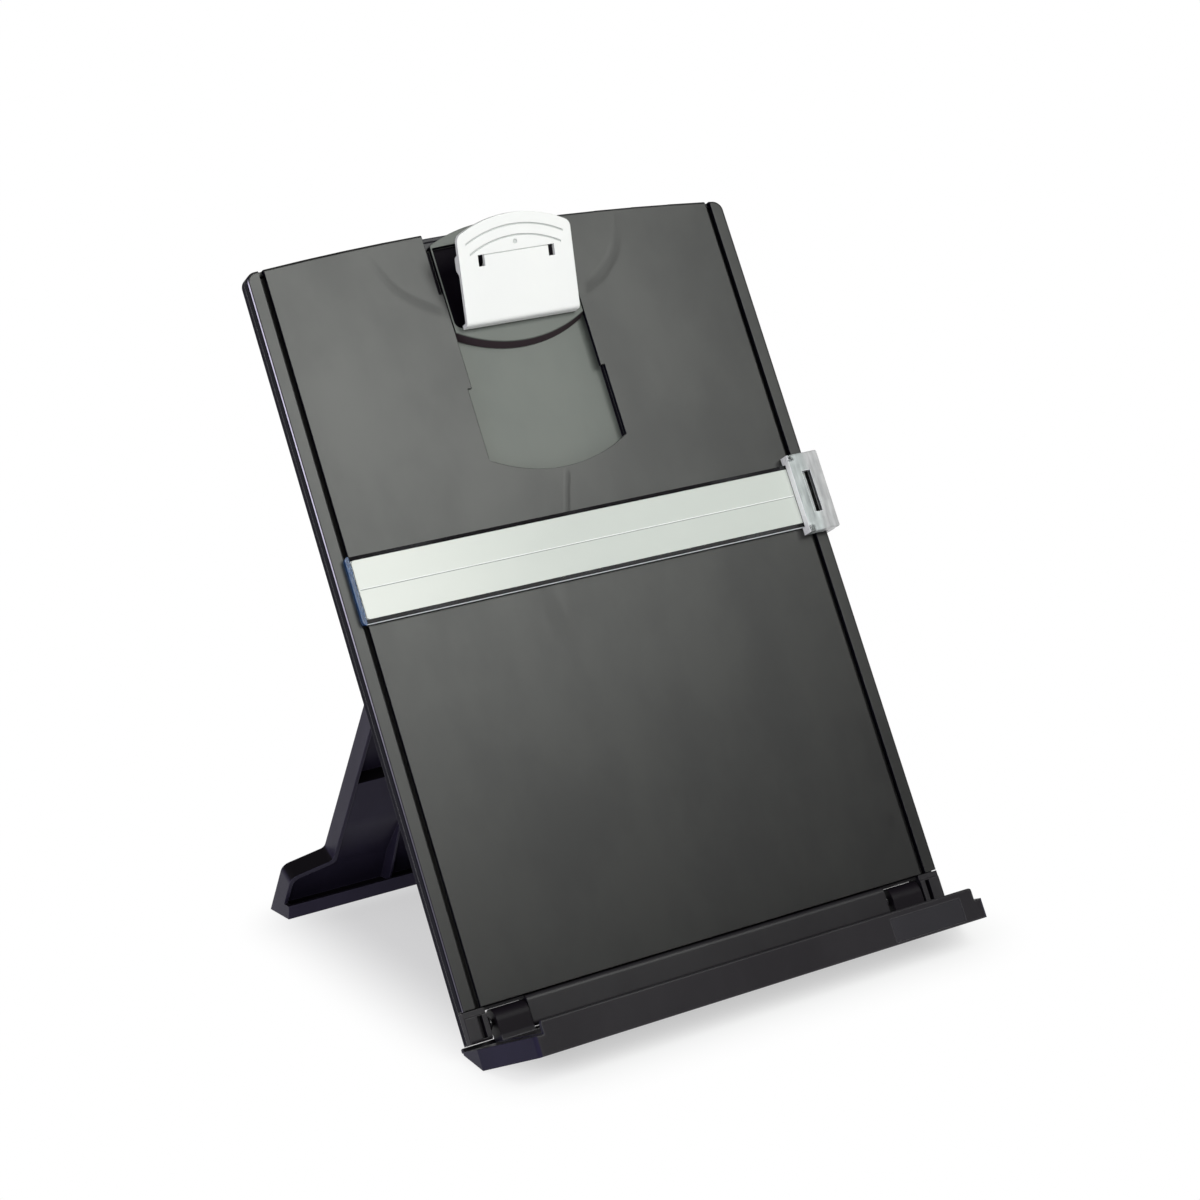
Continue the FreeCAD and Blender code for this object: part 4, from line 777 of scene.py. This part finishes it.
@dataclass(frozen=True)
class ClampPlastic(ClearPlastic):
    """The clear clamp: pale over the board, greyer where it wraps the edge, and clear in its tabs, with a painted
    highlight on its outer left wall, painted glints in its tabs and painted shade on its slot's wall.
    """

    middle: float = GUIDE_MIDDLE
    wrap: Pair = (111.5, 116.0)
    wrap_colour: Colour = (0.55, 0.55, 0.56)
    tabs: float = 15.3
    tab_reach: Pair = (109.5, 107.5)
    tab_milk: float = 0.12
    slot_middle: float = 113.0
    slot_half: float = 2.6
    streaks: float = 0.9
    lit_reach: float = 108.5
    slot_shade_colour: Colour = (0.07, 0.07, 0.075)

    def slot_wall(self, shader: Shader) -> Signal:
        """Mask of the slot's wall, which takes the painted shade."""
        return shader.leftward() * self.frame.x(shader).band(self.slot_middle, self.slot_half, 0.2)

    def lit_wall(self, shader: Shader) -> Signal:
        """Mask of the outer left wall, which takes the painted highlight, without the walls of the slot."""
        return shader.leftward() * self.frame.x(shader).ramp(self.lit_reach + 0.5, self.lit_reach)

    def cloud(self, shader: Shader) -> Signal:
        """How milky the body is: streaky in the middle, clear in the tabs with painted glints, and opaque on the
        slot's wall for its painted shade.

        Args:
            shader: the material under construction.

        Returns:
            The share of milk.
        """
        away = abs(self.frame.y(shader) - self.middle)
        tab = away.ramp(self.tabs - 0.4, self.tabs + 0.4) * self.frame.x(shader).ramp(*self.tab_reach)
        streak = shader.noise(2.2, 2.0, 0.5, (1.0, 0.2, 0.2)) - 0.5
        painted_glints = shader.noise(1.0, 1.0, 0.5) - 0.5
        body = self.milk + streak * self.streaks + tab * (painted_glints * 2.0 - self.milk + self.tab_milk)
        return body + self.slot_wall(shader)

    def cloud_colour(self, shader: Shader) -> Signal:
        """Pale over the board, greyer outside it, and dark on the slot's wall as painted shade."""
        body = shader.tint(self.frame.x(shader).ramp(*self.wrap), self.milk_colour, self.wrap_colour)
        return shader.tint(self.slot_wall(shader), body, self.slot_shade_colour)


@dataclass(frozen=True)
class FrostedFilm:
    """Pale frosted film with a fine matt tooth, a little darker towards the clamp."""

    name: str
    colour: Colour
    shade: Colour
    half_length: float = 110.0
    frame: BoardFrame = BoardFrame()

    def material(self) -> bpy.types.Material:
        """Build the material.

        Returns:
            The finished material.
        """
        shader = Shader(self.name)
        x = self.frame.x(shader)
        tooth = shader.noise(0.25, 3.0, 0.6)
        cloud = shader.noise(24.0, 2.0)
        fade = x.ramp(-self.half_length - 10.0, 10.0) * 0.92 + x.ramp(0.0, self.half_length) * 0.08
        fade = fade + (cloud - 0.5) * 0.2
        base = shader.tint(fade, self.colour, self.shade)
        normal = shader.relief(tooth, 0.006, shader.soft_edges(0.1))
        surface = shader.node("ShaderNodeBsdfPrincipled", None, {
            "Base Color": base, "Roughness": 0.46 + tooth * 0.1, "Normal": normal, "Specular IOR Level": 0.3})
        return shader.finish(surface)


@dataclass(frozen=True)
class InkAndGlintLine:
    """Thin line of ink, slightly broken by the tooth of the film; the guide also lays it pale beside the ink as a
    painted highlight.
    """

    name: str
    colour: Colour
    wear_and_highlight: Colour

    def material(self) -> bpy.types.Material:
        """Build the material.

        Returns:
            The finished material.
        """
        shader = Shader(self.name)
        tooth = shader.noise(0.5, 2.0, 0.6)
        surface = shader.node("ShaderNodeBsdfPrincipled", None, {
            "Base Color": shader.tint(tooth.ramp(0.45, 0.8), self.colour, self.wear_and_highlight),
            "Roughness": 0.5 + tooth * 0.1, "Normal": shader.relief(tooth, 0.003)})
        return shader.finish(surface)


@dataclass(frozen=True)
class BrightSteel:
    """Drawn or rolled steel with fine lines along its length."""

    name: str
    colour: Colour = (0.56, 0.56, 0.58)
    roughness: float = 0.28

    def material(self) -> bpy.types.Material:
        """Build the material.

        Returns:
            The finished material.
        """
        shader = Shader(self.name)
        lines = shader.noise(0.4, 2.0, 0.5, (0.05, 1.0, 1.0))
        normal = shader.relief(lines, 0.004, shader.soft_edges(0.15))
        base = shader.tint(lines, self.colour, tuple(c * 0.85 for c in self.colour))
        surface = shader.node("ShaderNodeBsdfPrincipled", None, {
            "Base Color": base, "Metallic": 1.0, "Roughness": self.roughness + (lines - 0.5) * 0.15,
            "Normal": normal})
        return shader.finish(surface)


# ---- The pieces --------------------------------------------------------------------------------------------------
Pieces = dict[str, bpy.types.Object]


@dataclass
class Assembly:
    """A group of pieces that go together."""

    pieces: Pieces

    def dress(self, node: str, material: bpy.types.Material) -> None:
        """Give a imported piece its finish.

        Args:
            node: the piece's name.
            material: its finish.
        """
        piece = self.pieces[node]
        piece.data.materials.clear()
        piece.data.materials.append(material)
        LOG.info("dressed %s with %s", node, material.name)


@dataclass
class Board(Assembly):
    """The two shells, the rail under them, the clip's track and the screws."""

    face: MouldedPlastic = BoardFacePlastic(
        "board_face", (0.020, 0.0195, 0.019), (0.011, 0.0105, 0.011), 0.33, Grain.FINE, 0.010, 0.10, 0.4,
        specular=0.47, side_shade_colour=(0.005, 0.004, 0.011), side_specular=0.015)
    track: MouldedPlastic = MouldedPlastic(
        "track_floor", (0.110, 0.121, 0.108), (0.098, 0.109, 0.098), 0.38, Grain.POLISHED, 0.0, 0.05, 0.2,
        specular=0.39, side_shade_colour=(0.007, 0.005, 0.011), side_specular=0.02)
    shell: MouldedPlastic = MouldedPlastic(
        "board_shell", (0.016, 0.013, 0.022), (0.012, 0.010, 0.018), 0.36, Grain.MEDIUM, 0.010, 0.06, 0.9,
        specular=0.30, side_shade_colour=(0.006, 0.005, 0.013), side_specular=0.015)
    rail: MouldedPlastic = MouldedPlastic(
        "bottom_rail", (0.026, 0.024, 0.027), (0.020, 0.018, 0.021), 0.38, Grain.FINE, 0.010, 0.05, 0.5,
        specular=0.25, side_shade_colour=(0.010, 0.008, 0.014))
    steel: BrightSteel = BrightSteel("zinc_steel")

    def build(self) -> None:
        """Dress the board."""
        self.dress("front_panel", self.face.material())
        self.dress("slide_track", self.track.material())
        self.dress("back_cover", self.shell.material())
        self.dress("bottom_rail", self.rail.material())
        steel = self.steel.material()
        for node in ("cover_screws", "ledge_pins", "ledge_washers", "leg_pin"):
            self.dress(node, steel)


@dataclass
class Clip(Assembly):
    """The slider and the white lever on it."""

    slider: MouldedPlastic = SliderPlastic(
        "clip_slider", (0.106, 0.117, 0.105), (0.095, 0.106, 0.095), 0.38, Grain.POLISHED, 0.0, 0.05, 0.3,
        specular=0.38, side_shade_colour=(0.006, 0.004, 0.008), side_specular=0.04)
    lever: MouldedPlastic = LeverPlastic(
        "white_lever", (0.868, 0.87, 0.857), (0.848, 0.85, 0.842), 0.32, Grain.POLISHED, 0.0, 0.03, 0.5)
    spring: BrightSteel = BrightSteel("spring_wire", (0.50, 0.50, 0.52), 0.34)
    pin: BrightSteel = BrightSteel("clip_pin_steel")

    def build(self) -> None:
        """Dress the clip."""
        self.dress("clip_slider", self.slider.material())
        self.dress("clip_lever", self.lever.material())
        wire = self.spring.material()
        for node in ("clip_spring", "slider_brake"):
            self.dress(node, wire)
        self.dress("clip_pin", self.pin.material())


@dataclass
class LineGuide(Assembly):
    """The clear bar, its film with the reading line, and its two ends."""

    frame: BoardFrame = BoardFrame()
    middle: float = GUIDE_MIDDLE
    face: float = 3.1
    line_left: float = -110.3
    line_right: float = 105.0
    line_half: float = 0.17
    line_rise: float = 0.07
    line_offset: float = 0.19
    line_root: float = 0.01
    line_steps: int = 6
    # The bar's milk colour is the colour of its painted highlight line.
    bar: ClearPlastic = BarPlastic(
        "clear_bar", (0.90, 0.93, 0.92), 0.03, 0.2, 0.0, (0.66, 0.68, 0.72), 0.9, specular=0.12)
    runner: ClearPlastic = ClearPlastic(
        "blue_runner", (0.36, 0.56, 0.92), 0.22, 0.3, 0.45, (0.035, 0.095, 0.25), 0.5, 0.25,
        rim_colour=(0.30, 0.46, 0.72), specular=0.12)
    clamp: ClearPlastic = ClampPlastic(
        "clear_clamp", (0.94, 0.95, 0.95), 0.05, 0.3, 0.74, (0.56, 0.60, 0.60), 0.9, 0.5, 0.95,
        rim_colour=(0.86, 0.87, 0.90), specular=0.25)
    film: FrostedFilm = FrostedFilm("reading_film", (0.735, 0.755, 0.710), (0.545, 0.575, 0.540))
    ink: InkAndGlintLine = InkAndGlintLine("line_ink", (0.30, 0.32, 0.31), (0.38, 0.40, 0.39))
    # Pale bead beside the ink line: a painted highlight.
    glint: InkAndGlintLine = InkAndGlintLine("line_glint", (0.97, 0.98, 0.97), (0.93, 0.94, 0.93))
    leaf: BrightSteel = BrightSteel("leaf_spring", (0.52, 0.52, 0.54), 0.30)

    def build(self) -> None:
        """Dress the guide and lay its reading line."""
        self.dress("guide_bar", self.bar.material())
        self.dress("guide_runner", self.runner.material())
        self.dress("guide_clamp", self.clamp.material())
        self.dress("guide_film", self.film.material())
        self.dress("guide_brake", self.leaf.material())
        self.reading_line("reading_line", -self.line_offset, self.ink)
        # A pale bead beside the ink line, laid as a painted highlight.
        self.reading_line("reading_glint", self.line_offset, self.glint)

    def reading_line(self, name: str, offset: float, finish: InkAndGlintLine) -> None:
        """Thin bead in the groove of the film, as long as the line.

        Args:
            name: the bead's name.
            offset: how far above the groove's middle it lies.
            finish: its finish.
        """
        mesh = bpy.data.meshes.new(name)
        work = bmesh.new()
        angles = [math.pi * step / self.line_steps for step in range(self.line_steps + 1)]
        left, right = [], []
        for x, ring in ((self.line_left, left), (self.line_right, right)):
            for angle in angles:
                y = self.middle + offset - self.line_half * math.cos(angle)
                z = self.face - self.line_root + self.line_rise * math.sin(angle)
                ring.append(work.verts.new(self.frame.point(x, y, z)))
        for step in range(self.line_steps):
            work.faces.new((left[step], right[step], right[step + 1], left[step + 1]))
        work.faces.new((left[-1], right[-1], right[0], left[0]))
        work.faces.new(left)
        work.faces.new(tuple(reversed(right)))
        bmesh.ops.recalc_face_normals(work, faces=work.faces)
        work.to_mesh(mesh)
        work.free()
        line = bpy.data.objects.new(name, mesh)
        bpy.context.scene.collection.objects.link(line)
        mesh.materials.append(finish.material())
        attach(line, "guide")
        LOG.info("laid %s", name)


@dataclass
class Ledge(Assembly):
    """The paper ledge, its plate and its pads."""

    tray: MouldedPlastic = TrayPlastic(
        "ledge_tray", (0.018, 0.016, 0.019), (0.013, 0.011, 0.014), 0.38, Grain.FINE, 0.010, 0.06, 0.6,
        specular=0.22, side_shade_colour=(0.014, 0.011, 0.034), wear_and_highlight=(0.060, 0.058, 0.064))
    plate: MouldedPlastic = MouldedPlastic(
        "bare_plate", (0.017, 0.015, 0.020), (0.013, 0.012, 0.016), 0.32, Grain.POLISHED, 0.0, 0.02, 0.15)
    pad: MouldedPlastic = MouldedPlastic(
        "rubber_pad", (0.03, 0.03, 0.03), (0.022, 0.022, 0.022), 0.75, Grain.MEDIUM, 0.02, 0.05, 0.3)

    def build(self) -> None:
        """Dress the ledge."""
        self.dress("ledge_tray", self.tray.material())
        self.dress("label_plate", self.plate.material())
        rubber = self.pad.material()
        self.dress("ledge_feet", rubber)
        self.dress("leg_feet", rubber)


@dataclass
class Leg(Assembly):
    """The ribbed leg and its bushes."""

    moulding: MouldedPlastic = LegPlastic(
        "leg_moulding", (0.034, 0.029, 0.055), (0.025, 0.021, 0.041), 0.42, Grain.MEDIUM, 0.012, 0.06, 0.5,
        specular=0.15, side_shade_colour=(0.012, 0.010, 0.013), side_specular=0.10, wear_and_highlight=(0.055, 0.050, 0.080))
    bush: MouldedPlastic = MouldedPlastic(
        "bush_plastic", (0.62, 0.60, 0.55), (0.56, 0.54, 0.50), 0.4, Grain.POLISHED, 0.0, 0.03, 0.15)

    def build(self) -> None:
        """Dress the leg."""
        self.dress("leg", self.moulding.material())
        self.dress("leg_bushes", self.bush.material())


# ---- The studio --------------------------------------------------------------------------------------------------
@dataclass(frozen=True)
class SoftLamp:
    """A rectangular soft lamp."""

    name: str
    at: Triple
    width: float
    height: float
    power: float
    colour: Colour
    towards: Triple = (0.0, 0.0, 0.15)

    def hang(self) -> None:
        """Put the lamp in the scene."""
        data = bpy.data.lights.new(self.name, "AREA")
        data.shape = "RECTANGLE"
        data.size = self.width
        data.size_y = self.height
        data.energy = self.power
        data.color = self.colour
        lamp = bpy.data.objects.new(self.name, data)
        bpy.context.scene.collection.objects.link(lamp)
        lamp.location = self.at
        lamp.rotation_euler = (Vector(self.towards) - Vector(self.at)).to_track_quat("-Z", "Y").to_euler()
        LOG.info("hung the %s lamp", self.name)


@dataclass
class Studio:
    """White floor, soft lamps and the camera."""

    camera_at: Triple = (-0.52959, -1.00419, 0.44527)
    right: Triple = (0.86760, -0.48902, -0.09019)
    up: Triple = (0.19877, 0.17481, 0.96433)
    focal: float = 79.877
    sensor: float = 36.0
    far: float = 100.0
    floor_reach: float = 30.0
    floor_colour: Colour = (0.93, 0.93, 0.93)
    foot_half: Pair = (0.085, 0.100)
    shadow_reach: float = 0.060
    shadow_lift: float = 0.52
    fill: float = 0.26
    fill_colour: Colour = (0.98, 0.98, 1.0)
    ceiling: float = 0.13
    horizon: float = 0.12
    lamps: tuple[SoftLamp, ...] = (
        SoftLamp("key", (0.384, -1.115, 1.25), 1.00, 0.80, 15.6, (0.968, 1.0, 0.950)),
        SoftLamp("front", (-0.65, -1.40, 0.62), 0.9, 0.7, 3.5, WHITE),
        SoftLamp("side", (-1.15, -0.46, 0.56), 0.36, 0.5, 3.8, (0.90, 0.88, 1.0)),
    )

    def build(self) -> None:
        """Build the floor, the light and the camera."""
        self.floor()
        self.surround()
        for lamp in self.lamps:
            lamp.hang()
        self.camera()

    def floor(self) -> None:
        """Large white floor that keeps the object's shadow and is plain white further out."""
        reach = self.floor_reach
        mesh = bpy.data.meshes.new("studio_floor")
        corners = [(-reach, -reach, 0.0), (reach, -reach, 0.0), (reach, reach, 0.0), (-reach, reach, 0.0)]
        mesh.from_pydata(corners, [], [(0, 1, 2, 3)])
        floor = bpy.data.objects.new("studio_floor", mesh)
        bpy.context.scene.collection.objects.link(floor)
        shader = Shader("studio_white")
        middle: Triple = (0.0, 0.0, 0.0)
        x, y = (
            (abs(shader.along(direction, middle) * MM) - half).at_least(0.0)
            for direction, half in zip((ACROSS, BACKWARD), self.foot_half))
        away = (x * x + y * y).root()
        factor = shader.seen() * away.ramp(0.0, self.shadow_reach, self.shadow_lift, 1.0)
        matt = shader.node("ShaderNodeBsdfDiffuse", None, {"Color": self.floor_colour})
        white = shader.node("ShaderNodeEmission", None, {"Color": WHITE, "Strength": 1.0})
        mesh.materials.append(shader.finish(shader.node("ShaderNodeMixShader", None, {0: factor, 1: matt, 2: white})))
        LOG.info("laid the floor")

    def surround(self) -> None:
        """Room that is white near the horizon to the eye, dim overhead, and even as a light."""
        world = Surround("studio_surround")
        even = world.node("ShaderNodeBackground", None, {"Color": self.fill_colour, "Strength": self.fill})
        white = world.node("ShaderNodeBackground", None, {"Color": WHITE, "Strength": 1.0})
        dim = world.node("ShaderNodeBackground", None, {"Color": WHITE, "Strength": self.ceiling})
        mirrored = 1.0 - world.node("ShaderNodeLightPath", out="Is Camera Ray")
        overhead = world.height().ramp(0.0, self.horizon) * mirrored
        room = world.node("ShaderNodeMixShader", None, {0: overhead, 1: white, 2: dim})
        world.close(world.node("ShaderNodeMixShader", None, {0: world.seen(), 1: even, 2: room}))
        LOG.info("set the surround")

    def camera(self) -> None:
        """Set the camera."""
        data = bpy.data.cameras.new("camera")
        data.sensor_width = self.sensor
        data.sensor_fit = "HORIZONTAL"
        data.lens = self.focal
        data.clip_end = self.far
        data.dof.use_dof = False
        camera = bpy.data.objects.new("camera", data)
        bpy.context.scene.collection.objects.link(camera)
        right = Vector(self.right).normalized()
        tall = Vector(self.up)
        tall = (tall - right * tall.dot(right)).normalized()
        turn = Matrix((right, tall, right.cross(tall))).transposed().to_4x4()
        camera.matrix_world = Matrix.Translation(Vector(self.camera_at)) @ turn
        bpy.context.scene.camera = camera
        LOG.info("set the camera")


def main() -> None:
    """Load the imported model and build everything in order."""
    logging.basicConfig(level=logging.INFO, format="%(name)s: %(message)s")
    pieces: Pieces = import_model()["nodes"]
    scene = bpy.context.scene
    scene.view_settings.view_transform = "Standard"
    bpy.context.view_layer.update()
    for group in (Studio(), Board(pieces), Clip(pieces), LineGuide(pieces), Ledge(pieces), Leg(pieces)):
        group.build()
        LOG.info("finished %s", type(group).__name__)


if __name__ == "__main__":
    main()
